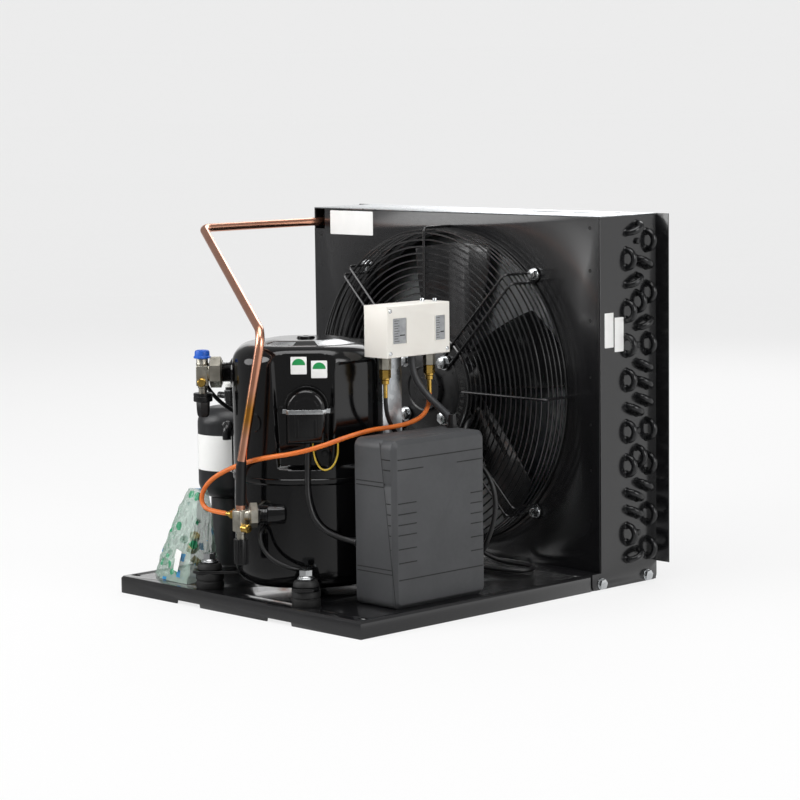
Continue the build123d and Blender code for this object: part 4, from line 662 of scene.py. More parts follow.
class Rows:
    """Geometry node trees for what repeats: rings of wire and pieces at marked places."""

    @staticmethod
    def tree(name: str, inputs: Sequence[tuple[str, str]]) -> tuple[Tree, Node, Node]:
        """Starts a tree with named inputs and one geometry output.

        Args:
            name: The tree's name.
            inputs: The name and socket type of each input.

        Returns:
            The tree, its input node and its output node.
        """
        tree = bpy.data.node_groups.new(name, "GeometryNodeTree")
        tree.interface.new_socket("Geometry", in_out="INPUT", socket_type="NodeSocketGeometry")
        for label, kind in inputs:
            tree.interface.new_socket(label, in_out="INPUT", socket_type=kind)
        tree.interface.new_socket("Geometry", in_out="OUTPUT", socket_type="NodeSocketGeometry")
        return tree, tree.nodes.new("NodeGroupInput"), tree.nodes.new("NodeGroupOutput")

    @staticmethod
    def end(tree: Tree, geometry: Socket, material: Socket, out: Node) -> None:
        """Ends a tree: real geometry with its material."""
        real = node(tree, "GeometryNodeRealizeInstances", {"Geometry": geometry})
        links = {"Geometry": real.outputs["Geometry"], "Material": material}
        dressed = node(tree, "GeometryNodeSetMaterial", links)
        tree.links.new(dressed.outputs["Geometry"], out.inputs["Geometry"])

    @classmethod
    def placed(cls) -> Tree:
        """The tree that puts a piece at every vertex of its host, each turned a step further."""
        found = bpy.data.node_groups.get("placed_pieces")
        if found:
            return found
        tree, given, out = cls.tree(
            "placed_pieces",
            (("Piece", "NodeSocketObject"), ("Turn Step", "NodeSocketVector"),
             ("Material", "NodeSocketMaterial")),
        )
        piece = node(tree, "GeometryNodeObjectInfo", {"Object": given.outputs["Piece"]})
        index = node(tree, "GeometryNodeInputIndex").outputs["Index"]
        turn = node(
            tree, "ShaderNodeVectorMath", {0: given.outputs["Turn Step"], "Scale": index}, operation="SCALE"
        )
        spread = node(
            tree, "GeometryNodeInstanceOnPoints",
            {"Points": given.outputs["Geometry"], "Instance": piece.outputs["Geometry"],
             "Rotation": turn.outputs[0]},
        )
        cls.end(tree, spread.outputs["Instances"], given.outputs["Material"], out)
        return tree

    @classmethod
    def wires(cls) -> Tree:
        """The tree that bends a wire into a ring at every vertex of its host, each larger by a step."""
        found = bpy.data.node_groups.get("wire_rings")
        if found:
            return found
        tree, given, out = cls.tree(
            "wire_rings",
            (("First Radius", "NodeSocketFloat"), ("Radius Step", "NodeSocketFloat"),
             ("Wire Radius", "NodeSocketFloat"), ("Turn", "NodeSocketVector"),
             ("Material", "NodeSocketMaterial")),
        )
        index = node(tree, "GeometryNodeInputIndex").outputs["Index"]
        grown = node(
            tree, "ShaderNodeMath",
            {0: index, 1: given.outputs["Radius Step"], 2: given.outputs["First Radius"]},
            operation="MULTIPLY_ADD",
        )
        ring = node(
            tree, "GeometryNodeCurvePrimitiveCircle", {"Resolution": 144, "Radius": 1.0}, mode="RADIUS"
        )
        spread = node(
            tree, "GeometryNodeInstanceOnPoints",
            {"Points": given.outputs["Geometry"], "Instance": ring.outputs["Curve"],
             "Rotation": given.outputs["Turn"], "Scale": grown.outputs[0]},
        )
        real = node(tree, "GeometryNodeRealizeInstances", {"Geometry": spread.outputs["Instances"]})
        section = node(
            tree, "GeometryNodeCurvePrimitiveCircle",
            {"Resolution": 10, "Radius": given.outputs["Wire Radius"]}, mode="RADIUS",
        )
        links = {"Curve": real.outputs["Geometry"], "Profile Curve": section.outputs["Curve"]}
        skin = node(tree, "GeometryNodeCurveToMesh", links)
        cls.end(tree, skin.outputs["Mesh"], given.outputs["Material"], out)
        return tree

    @staticmethod
    def grow(name: str, tree: Tree, places: Sequence[Vector], inputs: dict) -> Mesh:
        """Runs a tree on a host whose vertices are the places.

        Args:
            name: The mesh's name.
            tree: The tree to run.
            places: The host's vertices, in metres.
            inputs: Values by input name.

        Returns:
            The plain mesh that the tree gives.
        """
        host_mesh = bpy.data.meshes.new(name + "_host")
        host_mesh.from_pydata([tuple(place) for place in places], [], [])
        host = linked(name + "_host", host_mesh)
        modifier = host.modifiers.new("rows", "NODES")
        modifier.node_group = tree
        for item in tree.interface.items_tree:
            if item.item_type == "SOCKET" and item.in_out == "INPUT" and item.name in inputs:
                modifier[item.identifier] = inputs[item.name]
        graph = bpy.context.evaluated_depsgraph_get()
        made = bpy.data.meshes.new_from_object(host.evaluated_get(graph))
        made.name = name
        host.modifiers.clear()
        bpy.data.objects.remove(host)
        bpy.data.meshes.remove(host_mesh)
        return made

    @classmethod
    def repeat(
        cls, name: str, form: "Form", places: Sequence[Vector], finish: Finish, nodes: Iterable[str] = (),
        step: tuple[float, float, float] = (0.0, 0.0, 0.0),
    ) -> Piece:
        """Shows one form at many places.

        Args:
            name: The piece's name.
            form: What repeats, made round the origin.
            places: Where it goes, in metres.
            finish: Its surface.
            nodes: The solids that the whole row stands for.
            step: How far each one is turned past the one before, in radians.

        Returns:
            The piece.
        """
        pattern = linked(name + "_pattern", form.mesh_data(name + "_pattern"))
        inputs = {"Piece": pattern, "Turn Step": step, "Material": finish.material()}
        made = cls.grow(name, cls.placed(), places, inputs)
        pattern_mesh = pattern.data
        bpy.data.objects.remove(pattern)
        bpy.data.meshes.remove(pattern_mesh)
        return show(name, made, finish, nodes=nodes)


# The studio and the case


MIDDLE = (0.0, -0.02, 0.26)
# Each lamp's name, place, target, width in metres and power in watts
LAMPS = (
    ("key_lamp", (-1.2, -2.8, 2.1), MIDDLE, 1.8, 52),
    ("sheen_lamp", (-1.9, -2.0, 1.0), (0.2, 0.18, 0.5), 1.2, 12),
    ("side_lamp", (3.0, -0.2, 1.5), MIDDLE, 1.8, 34),
    ("top_lamp", (0.3, -0.5, 2.8), MIDDLE, 2.4, 46),
    ("rear_lamp", (-1.4, 2.6, 1.9), MIDDLE, 2.0, 30),
)


@dataclass
class Studio:
    """A pale seamless floor, soft lamps and the photograph's camera.

    The camera's angles are in degrees, its lens and frame in millimetres and the rest in metres.
    Reflections see the studio brighten along bright_side, from dark_end to bright_end.
    """

    place: tuple[float, float, float] = (2.8263, -2.6726, 0.7196)
    heading: float = 45.78
    pitch: float = 6.60
    roll: float = -0.75
    lens: float = 120.49
    frame: float = 36.0
    depth: float = 60.0
    floor_radius: float = 5.0
    floor_curve: float = 3.0
    bright_side: tuple[float, float, float] = (0.40, 0.92, 0.05)
    dark_end: float = -0.8
    bright_end: float = 0.9
    dimmest: float = 0.26
    paper: str = "#f1f1f1"
    glow: str = "#fbfbfb"
    glow_share: float = 0.80
    sky_light: float = 0.26
    sky_seen: float = 0.94

    def camera(self) -> None:
        """Sets the camera where the photograph was taken from."""
        heading, pitch, roll = (math.radians(angle) for angle in (self.heading, self.pitch, self.roll))
        level = Vector((math.cos(heading), math.sin(heading), 0))
        ahead = BACK * math.cos(pitch) + DOWN * math.sin(pitch)
        ahead.rotate(Matrix.Rotation(heading, 3, "Z"))
        above = level.cross(ahead)
        right = level * math.cos(roll) + above * math.sin(roll)
        up = right.cross(ahead)
        data = bpy.data.cameras.new("photograph_camera")
        data.lens = self.lens
        data.sensor_width = self.frame
        data.sensor_fit = "HORIZONTAL"
        data.clip_end = self.depth
        seen = linked("photograph_camera", data)
        turn = Matrix((right, up, -ahead)).transposed().to_4x4()
        seen.matrix_world = Matrix.Translation(self.place) @ turn
        bpy.context.scene.camera = seen

    @staticmethod
    def lamp(name: str, place: tuple, target: tuple, size: float, watts: float) -> None:
        """Hangs one soft round lamp and turns it to its target."""
        data = bpy.data.lights.new(name, "AREA")
        data.shape, data.size, data.energy = "DISK", size, watts
        aim = (Vector(target) - Vector(place)).to_track_quat("-Z", "Y").to_matrix().to_4x4()
        linked(name, data).matrix_world = Matrix.Translation(place) @ aim

    @staticmethod
    def direct(tree: Tree) -> tuple[Socket, bpy.types.bpy_prop_collection]:
        """Whether a ray comes from the camera or through something clear, and every kind of ray."""
        rays = node(tree, "ShaderNodeLightPath").outputs
        links = {0: rays["Is Camera Ray"], 1: rays["Is Transmission Ray"]}
        return node(tree, "ShaderNodeMath", links, operation="MAXIMUM").outputs[0], rays

    def backdrop(self) -> Material:
        """Matt white paper, nearly white to the camera, that reflections see fade to one dark side."""
        made = bpy.data.materials.new("white_backdrop_paper")
        made.use_nodes = True
        tree = made.node_tree
        shader = tree.nodes["Principled BSDF"]
        shader.inputs["Base Color"].default_value = linear(self.paper)
        shader.inputs["Roughness"].default_value = 0.95
        seen, rays = self.direct(tree)
        glow = node(tree, "ShaderNodeEmission", {"Color": linear(self.glow)})
        share = node(tree, "ShaderNodeMath", {0: seen, 1: self.glow_share}, operation="MULTIPLY")
        plain = node(
            tree, "ShaderNodeMixShader", {0: share.outputs[0], 1: shader.outputs[0], 2: glow.outputs[0]}
        )
        place = node(tree, "ShaderNodeTexCoord").outputs["Object"]
        away = node(tree, "ShaderNodeVectorMath", {0: place, 1: self.bright_side}, operation="DOT_PRODUCT")
        bright = node(
            tree, "ShaderNodeMapRange",
            {"Value": away.outputs["Value"], "From Min": self.dark_end, "From Max": self.bright_end,
             "To Min": self.dimmest, "To Max": 1.0},
        )
        mirrored = node(
            tree, "ShaderNodeEmission", {"Color": linear(self.glow), "Strength": bright.outputs["Result"]}
        )
        links = {0: rays["Is Glossy Ray"], 1: plain.outputs[0], 2: mirrored.outputs[0]}
        mixed = node(tree, "ShaderNodeMixShader", links)
        tree.links.new(mixed.outputs[0], tree.nodes["Material Output"].inputs["Surface"])
        return made

    def floor(self) -> None:
        """Lays the level floor and curves its rim up all round, so that no horizon shows."""
        reach, curve = self.floor_radius, self.floor_curve
        profile = [(0.02, 0), (reach, 0)]
        profile += [(reach + curve * math.sin(a), curve - curve * math.cos(a)) for a in sweep(0, 90, 12)[1:]]
        loops = []
        for radius, up in reversed(profile):
            loops.append([Vector((radius * math.cos(a), radius * math.sin(a), up)) for a in full_turn(96)])
        laid = linked("studio_floor", Form().rings(loops, capped=False).mesh_data("studio_floor"))
        laid.data.materials.append(self.backdrop())

    def world(self) -> None:
        """Lights everything evenly from a white sky."""
        world = bpy.data.worlds.new("studio_sky")
        bpy.context.scene.world = world
        world.use_nodes = True
        tree = world.node_tree
        sky = tree.nodes["Background"]
        sky.inputs["Color"].default_value = (1.0, 1.0, 1.0, 1.0)
        seen, _ = self.direct(tree)
        level = node(
            tree, "ShaderNodeMapRange", {"Value": seen, "To Min": self.sky_light, "To Max": self.sky_seen}
        )
        tree.links.new(level.outputs["Result"], sky.inputs["Strength"])

    def build(self) -> None:
        """Sets the whole studio up."""
        self.camera()
        self.world()
        self.floor()
        for lamp in LAMPS:
            self.lamp(*lamp)
        bpy.context.scene.view_settings.view_transform = "Standard"


def dress(finish: Finish, *names: str) -> None:
    """Gives solids that keep their drawn shape a finish, with crisp edges between their faces."""
    for name in names:
        solid = bpy.data.objects[name]
        for place in range(max(1, len(solid.material_slots))):
            if not solid.material_slots:
                solid.data.materials.append(finish.material())
            solid.material_slots[place].material = finish.material()


def softened(node_name: str, edge: float) -> Mesh:
    """A copy of a solid's mesh with its doubles merged and its sharp edges rounded.

    Args:
        node_name: The solid's node.
        edge: The rounding in millimetres.

    Returns:
        The new mesh.
    """
    merged, flat, crisp = 0.02 * MM, math.radians(1.5), math.radians(38)
    form = bmesh.new()
    form.from_mesh(bpy.data.objects[node_name].data)
    bmesh.ops.remove_doubles(form, verts=form.verts[:], dist=merged)
    bmesh.ops.dissolve_limit(form, angle_limit=flat, verts=form.verts[:], edges=form.edges[:])
    sharp = [item for item in form.edges if len(item.link_faces) == 2 and item.calc_face_angle(0) > crisp]
    bmesh.ops.bevel(
        form, geom=sharp, offset=edge * MM, segments=2, profile=0.5, affect="EDGES", clamp_overlap=True
    )
    made = bpy.data.meshes.new(node_name + "_softened")
    form.to_mesh(made)
    form.free()
    return made


def keep(name: str, node_name: str, edge: float, finish: Finish, body: str = ROOT) -> Piece:
    """Shows a solid's own shape with its sharp edges rounded, in place of the solid."""
    return show(name, softened(node_name, edge), finish, body, (node_name,))


@dataclass
class Case:
    """The base pan, the shroud, the lid and the end plates, with their blank labels."""

    sheet: float = 1.5
    shroud_y: float = 186.5
    opening: float = 230.0
    lip_radius: float = 5.0
    lip_depth: float = 19.8
    lip_sides: int = 160
    axis_z: float = 276.0
    foot: float = 24.2
    top: float = 538.0
    side: float = 300.0
    notch: tuple[float, float] = (24, 31)
    label: tuple[float, float, float, float] = (-261.5, 497.0, -165.0, 534.0)
    side_labels: tuple = ((195.5, 349, 214.5, 399), (217, 342, 236.5, 391.5))
    label_depth: float = 0.25
    right_holes: float = 282.0
    left_holes: float = -283.5

    def shroud(self) -> None:
        """Cuts the fan's round opening in the front sheet and rolls its lip inwards."""
        left, right, head = self.sheet - self.side, self.side - self.sheet, self.top - 2
        across, down = self.notch
        outline = [
            (left, self.foot), (right, self.foot), (right, head), (left + across, head),
            (left + across, head - down), (left, head - down),
        ]
        cut, bend = self.opening + self.lip_radius, self.sheet - self.lip_radius
        hole = circle((0, self.axis_z), cut, self.lip_sides)
        roll, outer = self.lip_radius, self.opening + self.sheet
        lip = [(cut + 0.2, 0.0), (cut + 0.2, self.sheet - 0.05)]
        lip += [(cut - roll * math.sin(turn), bend + roll * math.cos(turn)) for turn in sweep(0, 90, 6)]
        lip += [(self.opening, -self.lip_depth), (outer, -self.lip_depth), (outer, bend)]
        form = Form().plate([outline, hole], self.sheet, front_plane(self.shroud_y))
        form.turned(lip, mm(0, self.shroud_y, self.axis_z), FRONT, self.lip_sides, hollow=True)
        form.done("fan_shroud_sheet", Coats.CASE, nodes=("fan_shroud",))

    def labels(self) -> None:
        """Sticks a blank label on the shroud beside the fan and two on the right end plate."""
        form = Form().plate([rectangle(*self.label, 2.0)], self.label_depth, front_plane(self.front), 0.05)
        form.done("shroud_blank_label", Coats.PAPER)
        form = Form()
        for corners in self.side_labels:
            form.plate([rectangle(*corners, 1.0)], self.label_depth, side_plane(self.side), 0.05)
        form.done("end_plate_blank_labels", Coats.PAPER)

    @property
    def front(self) -> float:
        """The y of the shroud's face."""
        return self.shroud_y - self.sheet

    def holes(self) -> None:
        """Lays near-black discs on the shroud's face down its edges: painted shade where its columns of small
        holes are.
        """
        low = (99.0, 172.0, 238.5, 307.0)
        small = ((self.right_holes, low), (self.left_holes, low + (379.0, 449.0, 495.0)))
        large = ((self.right_holes, (388.0, 460.0, 521.0)),)
        for name, radius, columns in (("shroud_holes_2", 1.9, small), ("shroud_holes_3", 2.9, large)):
            form = Form().turned(((radius, 0.0), (radius, 0.06)), ORIGIN, FRONT, 24)
            places = [mm(across, self.front - 0.02, up) for across, levels in columns for up in levels]
            # Painted shade: each hole is a near-black disc on the face, not a cut.
            Rows.repeat(name, form, places, Coats.DARK)

    def build(self) -> None:
        """Builds the case. The lid stays bare zinc, as its cut edges show."""
        keep("base_pan", "base_plate", 0.5, Coats.CASE)
        self.shroud()
        keep("lid_sheet", "top_lid", 0.35, Coats.SHEET_ZINC)
        keep("end_plate_right_sheet", "end_plate_right", 0.35, Coats.CASE)
        keep("end_plate_left_sheet", "end_plate_left", 0.35, Coats.CASE)
        self.labels()
        self.holes()


@dataclass
class Coil:
    """The finned block, and where its tubes are."""

    left: float = -297.5
    right: float = 297.5
    front: float = 231.0
    back: float = 297.0
    foot: float = 26.5
    head: float = 534.0
    pitch: float = 2.1
    fin: float = 0.6
    first_fin: float = 1.2
    first_row: float = 37.2
    row_step: float = 25.0
    stagger: float = 12.5
    first_column: float = 242.0
    column_step: float = 22.0

    def fins(self) -> None:
        """Stacks thin fins along the tubes, with every edge showing."""
        steps = int((self.right - self.left) / self.pitch)
        low = Vector((-self.fin / 2, self.front, self.foot))
        high = Vector((self.fin / 2, self.back, self.head))
        places = [mm(self.left + self.first_fin + self.pitch * step, 0, 0) for step in range(steps)]
        fin = Form().block(low, high, 0.0)
        Rows.repeat("coil_fin_stack", fin, places, Coats.ALUMINIUM, nodes=("coil_fins",))

    def spot(self, column: int, row: int) -> tuple[float, float]:
        """The y and z of one tube."""
        shift = self.stagger if column == 1 else 0.0
        return self.first_column + self.column_step * column, self.first_row + self.row_step * row + shift

    def build(self) -> None:
        """Builds the coil."""
        self.fins()
        dress(Coats.COPPER, "coil_tubes")


def bend_path(start: Vector, end: Vector, out: Vector, stub: float = 3.0) -> list[Vector]:
    """A return bend's centre line: a stub, a half turn and a stub back.

    Args:
        start: One tube's end, in metres.
        end: The other tube's end.
        out: The direction away from the coil.
        stub: The straight run before the turn, in millimetres.

    Returns:
        The points of the path.
    """
    middle = (start + end) / 2 + out * stub * MM
    half = (start - end) / 2
    bend = [middle + half * math.cos(turn) + out * half.length * math.sin(turn) for turn in sweep(0, 180, 16)]
    return [start] + bend + [end]


@dataclass
class Bends(Coil):
    """The tubes that join the coil's rows and the headers at its left end.

    Loops join a row of one column to the next row; links join a row of one column to a row of
    the column behind it.
    """

    side: float = 300.0
    tube: float = 9.5
    header_x: float = -309.0
    gas_y: float = 212.0
    liquid_y: float = 299.0
    feeder: float = 4.2
    feeder_bend: float = 5.5
    right_loops: tuple = ((0, (1, 5, 7, 10, 12, 14, 17)), (1, (5, 14)), (2, (0, 2, 5, 7, 12, 15, 18)))
    left_loops: tuple = (
        (0, (0, 2, 4, 6, 8, 11, 13, 15, 18)), (1, (0, 2, 4, 6, 8, 10, 12, 15, 17)),
        (2, (1, 3, 6, 8, 11, 13, 16)),
    )
    front_links: tuple = ((0, 0), (3, 2), (4, 3), (9, 8), (16, 16), (19, 19))
    rear_links: tuple = ((4, 4), (9, 9), (10, 10), (11, 11), (13, 14), (17, 17))
    closed_rows: tuple = (1, 7, 12, 18)
    gas_rows: tuple = ((0, 10), (0, 17), (1, 14), (1, 19))
    liquid_rows: tuple = (0, 5, 10, 15, 18, 19)

    def mouth(self, side: float, column: int, row: int) -> Vector:
        """Where a tube comes out of an end plate."""
        return mm(side, *self.spot(column, row))

    def pairs(self) -> list[tuple[tuple[int, int], tuple[int, int]]]:
        """The column and row of both ends of every bend at the right end."""
        pairs = [((column, row), (column, row + 1)) for column, rows in self.right_loops for row in rows]
        pairs += [((0, first), (1, middle)) for first, middle in self.front_links]
        return pairs + [((1, middle), (2, last)) for middle, last in self.rear_links]

    def right_end(self) -> None:
        """Joins the rows at the right end, with closed stubs on the spare rows and a collar at each mouth."""
        form = Form()
        for ends in self.pairs():
            path = bend_path(*(self.mouth(self.side, *spot) for spot in ends), RIGHT)
            form.swept(path, self.tube / 2 * 0.98, 14)
        for row in self.closed_rows:
            mouth = self.mouth(self.side, 1, row)
            form.turned(((4.6, 0), (4.6, 4.6), (3.6, 5.8), (1.2, 6)), mouth, RIGHT, 18)
        form.done("return_bend_tubes", Coats.COIL, nodes=("return_bends",))
        collar = Form().turned(((5.9, 0), (5.7, 1.6), (4.9, 2.6)), ORIGIN, RIGHT, 18)
        spots = sorted({spot for ends in self.pairs() for spot in ends})
        Rows.repeat("bend_collars", collar, [self.mouth(self.side, *spot) for spot in spots], Coats.COIL)

    def left_end(self) -> None:
        """Joins the rows at the left end."""
        form = Form()
        for column, rows in self.left_loops:
            for row in rows:
                ends = [self.mouth(-self.side, column, row + more) for more in (0, 1)]
                form.swept(bend_path(*ends, LEFT), self.tube / 2 * 0.98)
        form.done("hairpin_tubes", Coats.COIL, nodes=("hairpin_bends",))

    def header(
        self, radius: float, place: float, rows: Sequence[tuple[int, int]], low: float, high: float
    ) -> Form:
        """Stands a closed pipe at the left end with a feeder to each of its rows.

        Args:
            radius: The pipe's radius.
            place: Its y.
            rows: The column and row of each tube that it feeds.
            low: Its lower end.
            high: Its upper end.

        Returns:
            The form, not yet shown.
        """
        tip, full, rise = radius * 0.55, radius * 0.97, high - low
        profile = ((tip, 0), (full, 2.5), (full, rise - 2.5), (tip, rise))
        form = Form().turned(profile, mm(self.header_x, place, low), UP, 24)
        for column, row in rows:
            across, up = self.spot(column, row)
            steps = ((self.header_x, place), (self.header_x, across), (-self.side, across))
            corners = [mm(x, y, up) for x, y in steps]
            form.swept(rounded(corners, (self.feeder_bend,), 6), self.feeder, 14)
        return form

    def headers(self) -> None:
        """Builds both headers."""
        gas = self.header(8.0, self.gas_y, self.gas_rows, 273.2, 531.7)
        gas.done("gas_header_pipe", Coats.COIL, nodes=("gas_header",))
        liquid = self.header(5.0, self.liquid_y, [(2, row) for row in self.liquid_rows], 27.7, 526.2)
        liquid.done("liquid_header_pipe", Coats.COIL, nodes=("liquid_header",))

    def build(self) -> None:
        """Builds the bends and headers."""
        self.right_end()
        self.left_end()
        self.headers()


@dataclass
class FanGuard:
    """The wire guard: rings over the fan, rings down its side, rods and bolts."""

    axis_z: float = 276.0
    face: float = 135.0
    shroud: float = 185.0
    inner: float = 92.0
    outer: float = 232.0
    rim: float = 237.0
    pitch: float = 10.0
    side_pitch: float = 9.6
    wire: float = 2.6
    rod: float = 4.0
    rod_start: float = 76.0
    rod_front: float = 131.5
    rod_back: float = 184.5
    rod_reach: float = 240.5
    rod_bend: float = 6.0
    gap: float = 9.0
    eye: float = 58.0
    rim_eye: float = 248.0
    rim_eye_y: float = 183.0
    rim_eye_wire: float = 3.8
    eye_tail: float = 8.0
    straight_rods: tuple = (0, 90, 180, 270)
    paired_rods: tuple = (45, 135, 225, 315)

    def ring_set(self, name: str, depths: Sequence[float], radius: float, step: float) -> Mesh:
        """Bends one set of wire rings.

        Args:
            name: The mesh's name.
            depths: Each ring's y.
            radius: The first ring's radius.
            step: How much larger each next one is.

        Returns:
            The rings.
        """
        inputs = {
            "First Radius": radius * MM, "Radius Step": step * MM, "Wire Radius": self.wire / 2 * MM,
            "Turn": (math.pi / 2, 0.0, 0.0), "Material": Coats.GUARD.material(),
        }
        return Rows.grow(name, Rows.wires(), [mm(0, depth, self.axis_z) for depth in depths], inputs)

    def rings(self) -> None:
        """Bends the wire rings, closer together than the coarse solid has them."""
        front = int((self.outer - self.inner) / self.pitch) + 1
        side = int((self.shroud - self.face) / self.side_pitch)
        deep = [self.face + self.side_pitch * (step + 1) for step in range(side)]
        form = Form()
        form.mesh.from_mesh(self.ring_set("front_rings", [self.face] * front, self.inner, self.pitch))
        form.mesh.from_mesh(self.ring_set("side_rings", deep, self.rim, 0.0))
        form.done("guard_wire_rings", Coats.GUARD, nodes=("guard_rings",))

    @staticmethod
    def spoke(angle: float) -> tuple[Vector, Vector]:
        """The directions out along a spoke and to its side, from its angle in degrees."""
        turn = math.radians(angle)
        return Vector((math.cos(turn), 0, math.sin(turn))), Vector((math.sin(turn), 0, -math.cos(turn)))

    def rod_path(self, angle: float, start: float, beside: float) -> list[Vector]:
        """A rod's centre line from the inside of the guard to the shroud."""
        out, across = self.spoke(angle)
        hub = mm(0, 0, self.axis_z) + across * beside * MM
        ends = ((start, self.rod_front), (self.rod_reach, self.rod_front), (self.rod_reach, self.rod_back))
        return rounded([hub + out * reach * MM + mm(0, y, 0) for reach, y in ends], (self.rod_bend,), 8)

    def half_ring(
        self, angle: float, y: float, reach: float, last: float, squeeze: float = 1.0
    ) -> list[Vector]:
        """Half a turn of wire round a bolt on a spoke.

        Args:
            angle: The spoke's angle.
            y: The bolt's y.
            reach: Its distance from the fan's axis.
            last: Where the half turn ends; it starts at 90 degrees.
            squeeze: How round it is along the spoke.

        Returns:
            The points of its centre line.
        """
        out, side = self.spoke(angle)
        centre = mm(0, y, self.axis_z) + out * reach * MM
        return [
            centre + (out * math.cos(swing) * squeeze + side * math.sin(swing)) * self.gap * MM
            for swing in sweep(90, last, 16)
        ]

    def rods(self) -> None:
        """Welds the rods over the rings, with eyes bent round the bolts."""
        form = Form()
        rows = [(angle, self.rod_start, 0.0) for angle in self.straight_rods]
        rows += [(angle, self.eye, side * self.gap) for angle in self.paired_rods for side in (-1, 1)]
        for row in rows:
            form.swept(self.rod_path(*row), self.rod / 2)
        for angle in self.paired_rods:
            form.swept(self.half_ring(angle, self.rod_front, self.eye, 270), self.rod / 2)
            loop = self.half_ring(angle, self.rim_eye_y, self.rim_eye, -90, 0.8)
            tail = self.spoke(angle)[0] * self.eye_tail * MM
            form.swept([loop[0] - tail] + loop + [loop[-1] - tail], self.rim_eye_wire / 2)
        form.done("guard_wire_rods", Coats.GUARD, nodes=("guard_rods",))

    def bolts(self) -> None:
        """Fits zinc bolts with washers through the eyes, and two through the right end plate."""
        form = Form()
        for angle in self.paired_rods:
            out, _ = self.spoke(angle)
            rim = mm(0, self.rim_eye_y - 2, self.axis_z) + out * self.rim_eye * MM
            form.turned(((8.6, -1.2), (8.8, -0.2), (8.6, 0.2)), rim, FRONT, 30)
            form.hexagon(13, 6, rim, FRONT, angle)
            form.turned(((2.9, -14), (2.9, 0)), rim, FRONT, 16)
            eye = mm(0, self.rod_front - 2, self.axis_z) + out * self.eye * MM
            form.turned(((10.8, -1), (11, -0.6), (11, 0.6), (10.7, 0.9)), eye, FRONT, 32)
            form.hexagon(16, 7.2, eye + FRONT * 0.8 * MM, FRONT, angle + 12)
            form.turned(((2.9, -7), (2.9, 0)), eye, FRONT, 16)
        for place in (mm(300, 186.5, 8.6), mm(300, 287.2, 8.6)):
            form.turned(((8.2, 0), (8.4, 0.3), (8.4, 1.1), (8.1, 1.4)), place, RIGHT, 28)
            form.hexagon(13, 4.8, place + mm(1.2, 0, 0), RIGHT, 10)
            form.turned(((2.9, -9), (2.9, 0)), place, RIGHT, 16)
        form.done("case_bolt_set", Coats.ZINC, nodes=("case_bolts",))

    def build(self) -> None:
        """Builds the guard."""
        self.rings()
        self.rods()
        self.bolts()


@dataclass
class Fan:
    """The motor on the guard's eyes and the impeller on its shaft."""

    axis_z: float = 276.0
    flange_y: float = 133.5
    rib_pitch: float = 5.4
    slot: tuple[float, float, float] = (7.6, 0.3, 3.4)
    slot_rows: tuple = ((53, 36), (64, 42), (75, 48))
    rod_clearance: float = 0.26

    def motor(self) -> None:
        """Turns the motor: a flange, a domed front cap and a ribbed can."""
        front = [(0, 7.6), (16.5, 7.6), (17.5, 6.7), (29.5, 6.5), (30.6, 7.4), (32.6, 7.8), (33.9, 6.8)]
        front += [(34, 0.9), (38, 0.6), (66.5, 0.4), (67.8, -0.4), (68, -2.8), (47, -3), (46, -4.5)]
        for rib in range(5):
            base = -8.0 - self.rib_pitch * rib
            front += [(46.0, base + 1.4), (44.8, base + 0.6), (44.8, base - 0.6), (46.0, base - 1.4)]
        front += [(46, -33), (43, -36.8), (5.5, -37)]
        profile = [(radius, -height) for radius, height in front]
        form = Form().turned(profile, mm(0, self.flange_y, self.axis_z), BACK, 96)
        form.done("fan_motor_can", Coats.BLACK_PLASTIC, nodes=("fan_motor",))

    def vents(self) -> None:
        """Sets a moulded ring round the motor's face, with rows of small slots but for under the rods:
        near-black blocks laid on the ring's face as painted shade in place of openings.
        """
        profile = (
            (46, 0.4), (84, 0.4), (85.5, -0.6), (88, -1.2), (90, -0.4), (90.4, 1.6), (89, 3.2), (46, 3.2),
        )
        ring = Form().turned(profile, mm(0, self.flange_y, self.axis_z), BACK, 120, hollow=True)
        ring.done("motor_slotted_ring", Coats.GUARD)
        centre = Matrix.Translation(mm(0, self.flange_y + 0.3, self.axis_z))
        long, deep, wide = self.slot
        form = Form()
        for radius, count in self.slot_rows:
            for step in range(count):
                turn = math.tau * (step + 0.5) / count
                if abs(math.cos(2 * turn)) < self.rod_clearance:
                    continue
                place = centre @ Matrix.Rotation(-turn, 4, "Y")
                for vert in bmesh.ops.create_cube(form.mesh, size=1.0)["verts"]:
                    vert.co = place @ mm(radius + vert.co.x * long, vert.co.y * deep, vert.co.z * wide)
        # Painted shade: each slot is a near-black block on the ring, not an opening.
        form.done("motor_vent_slots", Coats.DARK)

    def build(self) -> None:
        """Builds the fan."""
        self.motor()
        self.vents()
        keep("impeller_blades", "fan_impeller", 0.3, Coats.CASE, "impeller")


